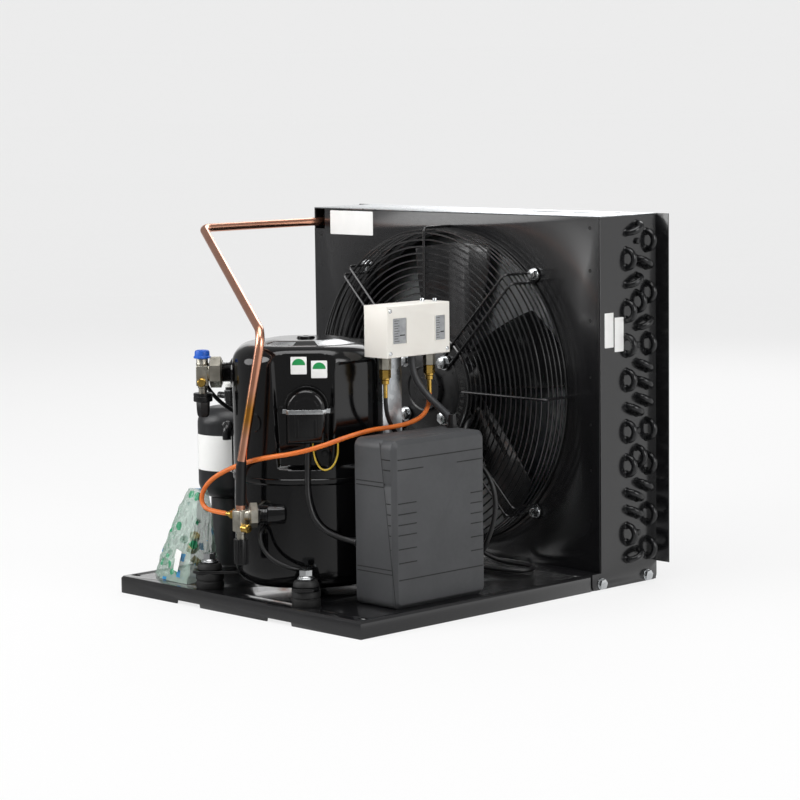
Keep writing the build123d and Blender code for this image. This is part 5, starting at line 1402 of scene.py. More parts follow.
@dataclass
class Compressor:
    """The welded steel shell: a rounded square seen from above, with pressed panels and a seam.

    The panel's sizes are its width, foot and head, and press is the width of both panels' edges.
    The lower half flares to a band under the seam, as far out as lip.
    """

    x: float = 58.0
    y: float = -161.0
    half: float = 103.0
    corner: float = 89.0
    foot: float = 36.0
    seam: float = 192.0
    band: float = 8.0
    lip: float = 2.2
    top: float = 372.0
    shoulder: float = 27.0
    bottom: float = 26.0
    rise: float = 5.0
    panel_reach: float = 95.0
    side_reach: float = 100.0
    panel: tuple[float, float, float] = (76.0, 204.0, 352.0)
    press: tuple[float, float] = (6.5, 6)
    row: float = 1.7
    around: int = 440
    lower_around: int = 240

    def place(self, along: float, out: float, up: float) -> Vector:
        """A point given along and out from the terminal face."""
        return mm(self.x + (out + along) * DIAGONAL, self.y + (along - out) * DIAGONAL, up)

    def reach(self, turn: float, inset: float) -> float:
        """How far the outline is from the axis in one direction.

        Args:
            turn: The direction from the terminal face, in radians.
            inset: How far the outline is drawn in.

        Returns:
            The distance in millimetres.
        """
        half, radius = self.half - inset, max(1.0, self.corner - inset)
        across, ahead = abs(math.sin(turn)), abs(math.cos(turn))
        straight = half - radius
        if ahead > 1e-6 and half / ahead * across <= straight:
            return half / ahead
        if across > 1e-6 and half / across * ahead <= straight:
            return half / across
        dot = straight * (across + ahead)
        return dot + math.sqrt(max(0.0, dot * dot - 2 * straight * straight + radius * radius))

    def pressed(self, along: float, up: float) -> float:
        """How far inside a panel's arched outline a point is, in millimetres."""
        width, low, high = self.panel
        half = width / 2 + 7 * (up - low) / (high - low)
        return min(half - abs(along), up - low)

    def skin(self, turn: float, inset: float, up: float) -> Vector:
        """One point of the shell, pressed in where a panel is."""
        radius = self.reach(turn, inset)
        along, out = radius * math.sin(turn), radius * math.cos(turn)
        depth = smooth(self.pressed(along, up) / self.press[0] + 0.1)
        if out > self.panel_reach and depth > 0:
            out -= (out - self.panel_reach) * depth
        side, ahead = (along + out) * DIAGONAL, (along - out) * DIAGONAL
        depth = smooth(min(self.pressed(ahead, up), self.panel[2] - up) / self.press[1] + 0.1)
        if side > self.side_reach and depth > 0:
            side -= (side - self.side_reach) * depth
            along, out = (side + ahead) * DIAGONAL, (side - ahead) * DIAGONAL
        return self.place(along, out, up)

    def shell(self, rows: Sequence[tuple[float, float]], around: int) -> Form:
        """Stacks outlines of (inset, height) into a closed skin."""
        turns = full_turn(around)
        return Form().rings([[self.skin(turn, inset, up) for turn in turns] for inset, up in rows])

    @staticmethod
    def thread(radius: float, root: float, first: float, turns: int, way: int = 1) -> Points:
        """A stub's thread as ridges 2 mm apart, from its first crest."""
        points = []
        for turn in range(turns):
            crest = first + 2 * way * turn
            points += [(radius, crest), (root, crest + way)]
        return points

    def upper(self) -> None:
        """Builds the upper half with its shoulder, crown and stub for the suction valve."""
        rows = [(6.0, self.seam + 0.2), (0.0, self.seam + 0.2)]
        level = self.seam + 1.0
        while level < self.top - self.shoulder - 1:
            rows.append((0.0, level))
            level += self.row
        reach, rim = self.shoulder, self.top - self.shoulder
        rows += [(reach * (1 - math.cos(turn)), rim + reach * math.sin(turn)) for turn in sweep(0, 90, 18)]
        for step in range(1, 15):
            share = step / 15
            rows.append((reach + (self.half - reach) * share, self.top + self.rise * smooth(share * 2.2)))
        rows.append((self.half - 12.6, self.top + self.rise))
        form = self.shell(rows, self.around)
        button = ((12, 0), (12, 2.6), (11.2, 3.4), (4, 3.5), (3.4, 2.6), (0, 2.5))
        form.turned(button, self.place(0, 0, self.top + self.rise - 0.5), UP)
        stub = self.place(0, 0, 330.0)
        profile = [(14, 96)] + self.thread(14, 13.2, 104, 7) + [(14, 118.3), (11, 118.6), (11, 127.4)]
        form.turned(profile, stub, SUCTION_SIDE)
        weld = ((14, 100), (20, 102.6), (19, 104.6), (15, 107), (13.6, 108))
        form.turned(weld, stub, SUCTION_SIDE)
        form.done("compressor_upper_skin", Coats.SHELL, nodes=("compressor_upper_shell",))

    def lower(self) -> None:
        """Builds the lower half with the seam's lip and the discharge stub."""
        edge, out, seam = self.bottom, -self.lip, self.seam
        rows = [(edge + 40, self.foot), (edge + 4, self.foot)]
        low, rim = seam - self.band, self.foot + edge
        rows += [(edge * (1 - math.sin(turn)), rim - edge * math.cos(turn)) for turn in sweep(0, 90, 12)]
        rows += [(0, 90), (0, 140), (0, low - 1.4), (-0.7, low - 0.4), (out + 0.5, low + 0.6)]
        rows += [(out, low + 1.6), (out, seam - 1.4), (out + 0.8, seam - 0.3)]
        rows += [(-0.4, seam - 0.1), (6.0, seam - 0.1)]
        form = self.shell(rows, self.lower_around)
        profile = [(11, 9), (11, 0.2), (14, 0)] + self.thread(14, 13.3, -1.5, 6, -1)
        profile += [(14, -14), (14, -36)]
        form.turned(profile, Valves.discharge_nut(), DISCHARGE_SIDE)
        form.done("compressor_lower_skin", Coats.SHELL, nodes=("compressor_lower_shell",))

    def disc(self) -> None:
        """Presses a round disc into the side near the suction stub."""
        turn = math.radians(-40)
        radius = self.reach(turn, 0.0)
        centre = self.place(radius * math.sin(turn), radius * math.cos(turn), 268.0)
        out = (self.place(math.sin(turn), math.cos(turn), 0) - self.place(0, 0, 0)).normalized()
        profile = ((13, -3), (13, 0.9), (12.2, 1.6), (10.4, 1.5), (9.6, 0.7), (0, 0.5))
        Form().turned(profile, centre, out, 44).done("shell_pressed_disc", Coats.SHELL)

    def label(self) -> None:
        """Lays two blank silver labels on the crown, which they follow."""
        start, flat = 29.0, self.half - self.shoulder
        labels = (("crown_right_label", 16, 64, 62.0), ("crown_left_label", -44, -12, 50.0))
        for name, first, last, inner in labels:
            rows = []
            for step in range(9):
                inset = start + (inner - start) * step / 8
                up = self.top + self.rise * smooth((inset - self.shoulder) / flat * 2.2) + 0.15
                rows.append([self.skin(turn, inset, up) for turn in sweep(first, last, 16)])
            sheet(name, rows, Coats.SILVER)

    def feet(self) -> None:
        """Keeps the welded foot plates and stands them on rubber, a ring, a washer and a bolt."""
        keep("compressor_foot_plates", "compressor_feet", 0.4, Coats.SHELL)
        places = [mm(60 + side * 101, -161 + end * 101, 0) for side in (-1, 1) for end in (-1, 1)]
        profile = (
            (4.4, 24), (19.2, 24), (20, 25.5), (19.8, 33), (18.4, 34.2), (18.4, 35.6), (19.8, 36.8),
            (20, 44.2), (19, 46), (8.7, 46), (8.7, 50), (16.6, 50), (17.5, 51.2), (17.3, 55.6),
            (15.4, 58.6), (11, 60), (4.4, 60),
        )
        rubber = Form().turned(profile, ORIGIN, UP)
        Rows.repeat("grommet_set", rubber, places, Coats.RUBBER, nodes=("mount_grommets",))
        shank = ((3.9, 22.5), (3.9, 60), (7.2, 60), (7.2, 60.5))
        washer = ((11.8, 60.6), (12, 61), (12, 62.2), (11.6, 62.6))
        bolt = Form().turned(shank + washer, ORIGIN, UP, 36)
        bolt.turned(((10.6, 62.6), (10.6, 64), (9.6, 65.2)), ORIGIN, UP, 36)
        bolt.hexagon(17, 8.8, mm(0, 0, 65.1), UP, 20)
        Rows.repeat("mount_bolt_set", bolt, places, Coats.ZINC, nodes=("mount_bolts",), step=(0.0, 0.0, 0.5))

    def build(self) -> None:
        """Builds the compressor."""
        self.upper()
        self.lower()
        self.disc()
        self.label()
        self.feet()


@dataclass
class Terminals(Compressor):
    """The glossy cap over the electrical pins, its steel band, ears and stickers."""

    shift: float = 4.0
    sticker: tuple[float, float] = (22, 24)
    sticker_spots: tuple = ((-17, 335.5), (11, 330))
    mark_radius: float = 9.0

    def plane(self, out: float) -> Matrix:
        """An upright plane on the terminal side, looking out."""
        return facing(self.place(0, out, 0), Vector((DIAGONAL, DIAGONAL, 0)), UP)

    def cover(self) -> None:
        """Moulds the arched cap: a hollow block with a raised rim and two ridges."""
        outline = arch(self.shift, 52.0, 242.0, 316.0)
        face = self.plane(self.panel_reach + 22.8)
        hollow = arch(self.shift, 48.0, 244.0, 314.0)
        form = Form().plate([outline, hollow], 16.0, self.plane(self.panel_reach + 0.2), 0.8)
        form.plate([outline], 12.6, self.plane(self.panel_reach + 11.2), 5.6)
        ridge = [arch(self.shift, 34, 250, 306), arch(self.shift, 30, 252, 304)]
        form.plate(ridge, 1.1, face, 0.4)
        for middle in (-8, 16):
            form.plate([rectangle(middle - 2, 250, middle + 2, 276, 1.8)], 1.1, face, 0.4)
        form.done("terminal_cap", Coats.SHELL, nodes=("terminal_cover",))

    def fence(self) -> None:
        """Welds the arched fence round the cap."""
        outlines = [arch(self.shift, 60.0, 238.0, 320.0), arch(self.shift, 55.0, 240.5, 317.5)]
        form = Form().plate(outlines, 9.6, self.plane(self.panel_reach - 0.6), 0.5)
        form.done("terminal_fence", Coats.SHELL)

    def ears(self) -> None:
        """Sets a screw each side of the fence and two rounded heads under it."""
        form = Form()
        for side in (-1, 1):
            foot = self.place(self.shift + side * 35.0, self.panel_reach - 0.4, 286.0)
            form.turned(((5.2, -1), (5.2, 1), (5, 1.2)), foot, TERMINAL_SIDE, 24)
            form.hexagon(8, 4.4, foot + TERMINAL_SIDE * 1.2 * MM, TERMINAL_SIDE, 15)
        for side in (-1, 1):
            foot = self.place(self.shift + side * 24.0, self.panel_reach - 0.2, 226.0)
            form.turned(((4.6, -0.5), (4.6, 1.6), (3.6, 3), (0, 3.2)), foot, TERMINAL_SIDE, 24)
        form.done("terminal_screws", Coats.SHELL)

    def stickers(self) -> None:
        """Sticks two white labels with a plain green half disc above the cap."""
        white, green = Form(), Form()
        base = self.plane(self.panel_reach + 0.05)
        wide, high = self.sticker
        for left, low in self.sticker_spots:
            white.plate([rectangle(left, low, left + wide, low + high, 1.2)], 0.15, base, 0.03)
            half_disc = arc((left + wide / 2, low + 12.5), self.mark_radius, 0, 180, 24)
            green.plate([half_disc], 0.2, base, 0.03)
        white.done("shell_blank_stickers", Coats.PAPER)
        green.done("sticker_green_marks", Coats.GREEN)

    def build(self) -> None:
        """Builds the terminal box."""
        self.cover()
        self.fence()
        self.ears()
        keep("terminal_band", "terminal_strap", 0.2, Coats.ZINC)
        self.stickers()
        dress(Coats.BRASS, "terminal_pins")


@dataclass
class Valves:
    """Both service valves: swivel nuts, blocks, caps, spindles, gauge caps and the blue plug."""

    suction_axis: tuple[float, float] = (-45.24, -264.24)
    discharge_axis: tuple[float, float] = (71.7, -299.6)
    block: float = 8.5
    ribs: int = 20
    rib: float = 0.45

    @classmethod
    def discharge_nut(cls) -> Vector:
        """Where the discharge valve's nut starts, on the side towards the shell."""
        return mm(*cls.discharge_axis, 143.0) - DISCHARGE_SIDE * 23.1 * MM

    def nuts(self) -> None:
        """Turns the swivel nuts that hold both valves on their stubs."""
        foot, form = mm(58, -161, 330), Form()
        nut, neck = foot + SUCTION_SIDE * 118.6 * MM, foot + SUCTION_SIDE * 135.6 * MM
        form.hexagon(38, 17, nut, SUCTION_SIDE, 30)
        form.turned(((17.2, -0.9), (18, 0), (14, 0.2)), nut, SUCTION_SIDE, 48)
        form.turned(((12.8, 0), (12.6, 1.6), (10.2, 2.4)), neck, SUCTION_SIDE)
        nut = self.discharge_nut()
        form.hexagon(30, 11, nut, DISCHARGE_SIDE, 30)
        neck = nut + DISCHARGE_SIDE * 11 * MM
        form.turned(((10.4, 0), (10.2, 1.2), (8.2, 2)), neck, DISCHARGE_SIDE, 36)
        form.done("swivel_nut_set", Coats.NICKEL, nodes=("swivel_nuts",))

    def suction(self) -> None:
        """Builds the suction valve on the stub that points away from the terminals."""
        centre, size = mm(*self.suction_axis, 0), self.block
        turn = Matrix.Translation((*self.suction_axis, 0)) @ Matrix.Rotation(math.pi / 4, 4, "Z")
        body = Form()
        body.block(Vector((-size, -size, 311)), Vector((size, size, 340)), 1.6, turn)
        body.turned(((9.4, 127.5), (9.4, 139), (8, 140)), mm(58, -161, 330), SUCTION_SIDE, 32)
        port = (
            (8.2, 339), (8.9, 342), (8.2, 344), (8, 358.2), (7.6, 359), (6.5, 359), (6.4, 358.4),
            (6.4, 330), (0, 330),
        )
        body.turned(port, centre, UP, 36)
        body.turned(((6.8, 313), (6.8, 308), (6, 307.4), (6, 291.2), (0, 291.2)), centre, UP, 32)
        body.done("suction_valve_block", Coats.NICKEL, nodes=("suction_valve_body",))
        collar = (
            (6.3, 301), (12.6, 301), (13.4, 300.2), (13.5, 297.4), (12.8, 296.6), (13.4, 295.8),
            (13.5, 290), (12.8, 289), (6.3, 289), (6.3, 269.2), (0, 269.2),
        )
        cap = Form().turned(collar, centre, UP, 44)
        cap.turned(((9.4, 289.1), (9.8, 288.4), (9.2, 276), (8.4, 270), (6.6, 267)), centre, UP, 6)
        cap.done("suction_cap_skin", Coats.BLACK_PLASTIC, "suction_cap", ("suction_stem_cap",))
        outer = (
            (8.3, 350), (11.6, 350), (12, 350.6), (12, 352.4), (11.4, 353), (10.6, 353.4),
            (10.4, 358.6), (9.6, 360.6), (7.4, 361.4), (0, 361.5),
        )
        plug = Form().turned(outer, centre, UP, 44)
        plug.done("blue_plug_skin", Coats.BLUE, "blue_plug", ("suction_plug",))

    def discharge(self) -> None:
        """Builds the discharge valve under the end of the copper pipe."""
        foot, size = mm(*self.discharge_axis, 0), Vector((self.block, self.block, 0))
        middle = Vector((*self.discharge_axis, 0))
        body = Form()
        body.block(middle - size + Vector((0, 0, 121)), middle + size + Vector((0, 0, 151)), 1.6)
        body.turned(((8.4, -14.1), (8.4, -4)), mm(*self.discharge_axis, 143), DISCHARGE_SIDE, 28)
        body.turned(((8.4, 150), (8.2, 151.4), (7.2, 151.9)), foot, UP, 32)
        body.turned(((6.8, 122), (6.8, 118), (6, 117.4), (6, 101.2), (0, 101.2)), foot, UP, 32)
        body.done("discharge_valve_block", Coats.NICKEL, nodes=("discharge_valve_body",))
        self.discharge_cap(foot)

    def discharge_cap(self, foot: Vector) -> None:
        """Moulds the ribbed cap: its radius steps in and out round the sides."""
        profile = ((6.3, 111), (9.6, 111), (10.5, 110.2), (10.5, 80), (9.9, 76.6), (8, 75.2), (0.2, 75))
        loops = []
        for radius, height in profile:
            loop = []
            for step, turn in enumerate(full_turn(6 * self.ribs)):
                rib = 0.0
                if 76 < height < 110.5:
                    rib = self.rib if step % 6 < 3 else -self.rib
                reach = radius + rib - self.rib if radius > 1 else radius
                loop.append(foot + mm(reach * math.cos(turn), reach * math.sin(turn), height))
            loops.append(loop)
        cap = Form().rings(loops)
        cap.done("discharge_cap_skin", Coats.BLACK_PLASTIC, "discharge_cap", ("discharge_stem_cap",))

    def gauge_caps(self) -> None:
        """Screws small brass caps on the gauge ports."""
        profile = ((6, 0), (6, 2), (5.3, 2.3), (5.3, 2.9), (6, 3.2), (6, 10.6), (5, 11.8), (0, 12))
        port = mm(*self.suction_axis, 317) + TERMINAL_SIDE * self.block * MM
        form = Form().turned(profile, port, TERMINAL_SIDE, 28)
        form.turned(profile, mm(80.2, -302.6, 127), RIGHT, 28)
        form.done("gauge_cap_set", Coats.BRASS, nodes=("service_port_caps",))

    def build(self) -> None:
        """Builds the valves."""
        self.nuts()
        self.suction()
        self.discharge()
        self.gauge_caps()
        dress(Coats.NICKEL, "suction_spindle", "discharge_spindle")


@dataclass
class Receiver:
    """The liquid tank on its ring foot, with its valve and elbow."""

    x: float = -150.0
    y: float = -126.0
    tank_radius: float = 47.5
    dome: float = 24.0
    tank_foot: float = 128.0
    tank_top: float = 262.0
    outlet: float = 277.0
    elbow: float = 238.0
    elbow_radius: float = 6.3
    label_heights: tuple[float, float] = (171, 223)
    label_turn: tuple[float, float] = (-122, -38)

    def axis(self, up: float = 0.0) -> Vector:
        """A point on the tank's axis."""
        return mm(self.x, self.y, up)

    def tank(self) -> None:
        """Turns the tank with its domed ends and a weld bead round its middle."""
        bend, flat, side = self.dome, self.tank_radius - self.dome, self.tank_radius - 0.1
        low, high = self.tank_foot + bend, self.tank_top - bend
        profile = [(0.0, self.tank_foot)]
        profile += [(flat + bend * math.sin(turn), low - bend * math.cos(turn)) for turn in sweep(0, 90, 12)]
        profile += [(side, 176.0), (side, 193.0), (self.tank_radius, 194.4), (side, 195.8)]
        profile += [(flat + bend * math.cos(turn), high + bend * math.sin(turn)) for turn in sweep(0, 90, 12)]
        form = Form().turned(profile + [(0.0, self.tank_top)], self.axis(), UP, 96)
        form.done("receiver_tank", Coats.TANK, nodes=("receiver_shell",))

    def foot(self) -> None:
        """Turns the hollow foot and its flange."""
        profile = (
            (27.2, 24), (37.4, 24), (38, 24.8), (37.8, 26.6), (31.4, 27), (30.2, 28.4), (29.8, 31),
            (29.8, 126), (29.4, 128.2), (27.2, 128.2),
        )
        form = Form().turned(profile, self.axis(), UP, 72, hollow=True)
        form.done("receiver_foot_ring", Coats.TANK, nodes=("receiver_foot",))

    def valve(self) -> None:
        """Builds the valve on the tank's top, with its outlet and white cap."""
        body = (
            (7.9, 262), (7.9, 266), (6.6, 266.6), (6.6, 269), (7.9, 269.6), (7.9, 284.5), (6.2, 286),
            (6, 290),
        )
        outlet = ((4.9, 5), (4.9, 12), (3.9, 12.6), (3.9, 14), (4.9, 14.6), (4.9, 22), (3, 22))
        form = Form().turned(body, self.axis(), UP, 6, 30).turned(outlet, self.axis(self.outlet), LEFT, 28)
        form.done("receiver_valve_block", Coats.CASE, nodes=("receiver_valve",))
        cap = Form().turned(((6.4, 290.1), (6.4, 295.4), (5.4, 296.9), (0, 297)), self.axis(), UP, 28)
        cap.done("receiver_cap", Coats.WHITE_PLASTIC, nodes=("receiver_valve_cap",))

    def elbow_pipe(self) -> None:
        """Bends the outlet elbow on the tank's side, with its weld."""
        start = self.axis(self.elbow) + TERMINAL_SIDE * (self.tank_radius + 0.3) * MM
        corner = start + TERMINAL_SIDE * 14 * MM
        form = Form().swept(rounded([start, corner, corner - mm(0, 0, 18)], (9,), 10), self.elbow_radius, 28)
        weld = start - TERMINAL_SIDE * 0.2 * MM
        form.turned(((8.4, 0), (8, 1.6), (6.4, 3)), weld, TERMINAL_SIDE, 32)
        form.done("receiver_elbow_pipe", Coats.COIL, nodes=("receiver_elbow",))

    def label(self) -> None:
        """Wraps a blank white label round the side that the photograph shows."""
        radius = self.tank_radius + 0.25
        turns = sweep(*self.label_turn, 24)
        rows = [
            [self.axis(up) + mm(radius * math.cos(turn), radius * math.sin(turn), 0) for turn in turns]
            for up in self.label_heights
        ]
        sheet("receiver_blank_label", rows, Coats.PAPER)

    def build(self) -> None:
        """Builds the receiver."""
        self.tank()
        self.foot()
        self.valve()
        self.elbow_pipe()
        self.label()


@dataclass
class PressureSwitch:
    """The white switch box on its post, with scales, spindles and port fittings."""

    front: float = 212.5
    window_rim: float = 1.4
    windows: tuple = ((-128.0, 392.5, 26.0, 35.0), (-49.5, 392.0, 19.0, 34.0))
    ports: tuple = ((192.5, -137.3), (192.5, -52))
    mark: float = 0.7

    def scales(self) -> None:
        """Frames the cover's two scale windows, marks their plates and sets the cover's screws."""
        frames, panes, marks = Form(), Form(), Form()
        plane = side_plane(self.front - 0.46)
        for middle, up, width, height in self.windows:
            left, right, low, high = middle - width / 2, middle + width / 2, up - height / 2, up + height / 2
            rim = self.window_rim
            outer = rectangle(left - rim, low - rim, right + rim, high + rim, 2.0)
            inner = rectangle(left, low, right, high, 1.2)
            frames.plate([outer, inner], 0.9, side_plane(self.front - 0.1), 0.25)
            panes.plate([inner], 0.3, side_plane(self.front - 0.75), 0.08)
            for step in range(9):
                end = middle - width * (0.10 if step % 2 else 0.0)
                line = bar(middle - width * 0.36, end, low + height * (step + 1) / 10, self.mark)
                marks.plate([line], 0.12, plane, 0.02)
            foot = up - height * 0.2
            marks.plate([rectangle(middle + 1.0, foot, middle + width * 0.4, foot + 1.6)], 0.14, plane, 0.02)
        frames.done("switch_window_frames", Coats.WHITE)
        panes.done("switch_scale_panes", Coats.SCALE)
        marks.done("switch_scale_marks", Coats.DARK)
        screws = Form()
        for middle, up in ((-146, 420.5), (-146, 362), (-36, 362)):
            place = mm(self.front - 0.05, middle, up)
            screws.turned(((3, 0), (2.9, 0.9), (1.6, 1.5), (0, 1.6)), place, RIGHT, 20)
        screws.done("switch_cover_screws", Coats.ZINC)

    def foot_screw(self) -> None:
        """Screws the post's foot to the deck."""
        place = mm(184, -105.5, 26)
        form = Form().turned(((7.4, 0), (7.6, 0.3), (7.6, 1.2), (7.2, 1.5)), place, UP, 30)
        form.hexagon(10, 5, place + mm(0, 0, 1.3), UP, 12)
        form.done("post_foot_screw", Coats.ZINC)

    def fittings(self) -> None:
        """Hangs the port nuts and the brass flare nuts with their barbs."""
        cups, brass = Form(), Form()
        cup = ((11, 357.8), (11.4, 359), (11.4, 381), (9, 383.4), (0, 383.5))
        barb = ((6.4, 12), (6.4, 14), (5.4, 15), (5.4, 20), (3.2, 21), (3.2, 39))
        for x, y in self.ports:
            nut = mm(x, y, 338.9)
            cups.turned(cup, mm(x, y, 0), UP, 32)
            cups.hexagon(15, 17, mm(x, y, 356), DOWN, 10)
            brass.hexagon(14, 12, nut, DOWN, 10)
            brass.turned(barb, nut, DOWN, 28)
        side = mm(63.2, -299.6, 143.0)
        brass.hexagon(14, 7, side, LEFT, 30)
        barb = ((6.3, 7), (6.3, 8.6), (5.2, 9.6), (5.2, 12), (3.2, 12.6), (3.2, 20))
        brass.turned(barb, side, LEFT, 28)
        cups.done("switch_pressure_cups", Coats.NICKEL, nodes=("switch_bellows",))
        brass.done("hose_fitting_set", Coats.BRASS, nodes=("hose_fittings",))

    def build(self) -> None:
        """Builds the switch."""
        keep("switch_cover_sheet", "switch_cover", 0.8, Coats.WHITE)
        self.scales()
        keep("range_spindle_turned", "range_spindle", 0.2, Coats.ZINC, "range_screw")
        keep("difference_spindle_turned", "difference_spindle", 0.2, Coats.ZINC, "difference_screw")
        self.fittings()
        keep("switch_post_channel", "switch_post", 0.3, Coats.SHEET_ZINC)
        keep("switch_chassis_frame", "switch_chassis", 0.2, Coats.SHEET_ZINC)
        self.foot_screw()


@dataclass
class ElectricalBox:
    """The grained plastic case of the start parts, split on a leaning seam."""

    front: float = 280.0
    near: float = -208.0
    near_edge: float = -201.0
    far_edge: float = -38.0
    top: float = 253.0
    line_depth: float = 0.35
    cover_line: float = 1.6
    housing_line: float = 1.4
    long_grooves: tuple = (227.5, 213.5)
    short_grooves: tuple = (168.0, 153.5, 139.0, 125.0, 106.0, 87.0)
    ribs: tuple = (196.0, 190.0, 78.0, 72.0)

    def grooves(self) -> None:
        """Draws the long grooves and the short ones along the cover as near-black lines on its face: painted
        shade in place of cut grooves.
        """
        upper, lower = self.long_grooves
        near, far = self.near_edge, self.far_edge
        lines = [(near, far, upper), (near, -152.0, lower), (-88.0, far, lower), (near, far, 64.0)]
        for up in self.short_grooves:
            lines += [(near, -166.0, up), (-62.0, far, up)]
        form = Form()
        for low, high, up in lines:
            line = bar(low, high, up, self.cover_line, 0.7)
            form.plate([line], self.line_depth, side_plane(self.front - 0.25), 0.1)
        for up in self.long_grooves + self.short_grooves:
            start = 253.5 + (self.top - up) * LEAN
            if start < 272.0:
                line = bar(start, 273.5, up, self.cover_line, 0.7)
                form.plate([line], self.line_depth, front_plane(self.near + 0.25), 0.1)
        # Painted shade: each groove is a near-black strip on the face, not a cut.
        form.done("box_groove_lines", Coats.DARK, "box_cover")

    def side_lines(self) -> None:
        """Draws the housing's double ribs on its near side as near-black lines of painted shade, and the
        leaning seam as a dark joint line.
        """
        drop = 223 * LEAN
        lines = [bar(206.0, 252.0 + (self.top - up) * LEAN, up, self.housing_line, 0.6) for up in self.ribs]
        lines.append([(252.7, 250), (253.7, 250), (253.7 + drop, 27), (252.7 + drop, 27)])
        form = Form()
        for line in lines:
            form.plate([line], self.line_depth, front_plane(self.near + 0.25), 0.1)
        # Painted shade along the ribs, and the seam's dark joint line.
        form.done("box_side_lines", Coats.DARK)

    def glands(self) -> None:
        """Fits a tapered gland where each cable goes into the case."""
        large = ((8.4, 0), (8.4, 2.4), (6.6, 3), (6.4, 8), (5.4, 18))
        form = Form().turned(large, mm(229, -44, 252.8), UP, 32)
        form.done("switch_cable_gland", Coats.BLACK_PLASTIC)
        small = ((7.2, 0), (7.2, 2.2), (6, 2.8), (5.6, 7), (4.2, 16))
        form = Form().turned(small, mm(204.0, -202.5, 108.5), Vector((-1, -0.02, 0.03)), 32)
        form.done("compressor_cable_gland", Coats.BLACK_PLASTIC)

    def build(self) -> None:
        """Builds the box and dresses the parts behind its cover."""
        keep("box_housing_shell", "ebox_housing", 1.1, Coats.BOX)
        keep("box_cover_shell", "ebox_cover", 1.1, Coats.BOX, "box_cover")
        self.grooves()
        self.side_lines()
        dress(Coats.BLACK_PLASTIC, "start_relay")
        dress(Coats.ALUMINIUM, "capacitors")
        dress(Coats.WHITE_PLASTIC, "terminal_block")
        self.glands()


class Feel(Enum):
    """How stiff a cord is."""

    LIMP = "limp"
    MEDIUM = "medium"
    STIFF = "stiff"


class Lay(Enum):
    """How a cord lies."""

    LOOSE = "loose"
    HANGING = "hanging"


@dataclass
class Cord:
    """One hose or cable on its route, in millimetres."""

    name: str
    node: str
    finish: Finish
    diameter: float
    length: float
    feel: Feel
    lay: Lay
    route: Sequence[tuple[float, float, float]]

    def build(self) -> Piece:
        curve = bpy.data.curves.new(self.name, "CURVE")
        curve.dimensions = "3D"
        curve.bevel_depth = self.diameter / 2 * MM
        curve.bevel_resolution = 5
        curve.use_fill_caps = True
        curve.resolution_u = 10
        spline = curve.splines.new("NURBS")
        spline.points.add(len(self.route) - 1)
        for point, place in zip(spline.points, self.route):
            point.co = (*mm(*place), 1.0)
        spline.order_u = 3
        spline.use_endpoint_u = True
        laid = linked(self.name, curve)
        curve.materials.append(self.finish.material())
        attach(laid, ROOT)
        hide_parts(self.node)
        LOG.info("%s: cord of %d points", self.name, len(self.route))
        return laid


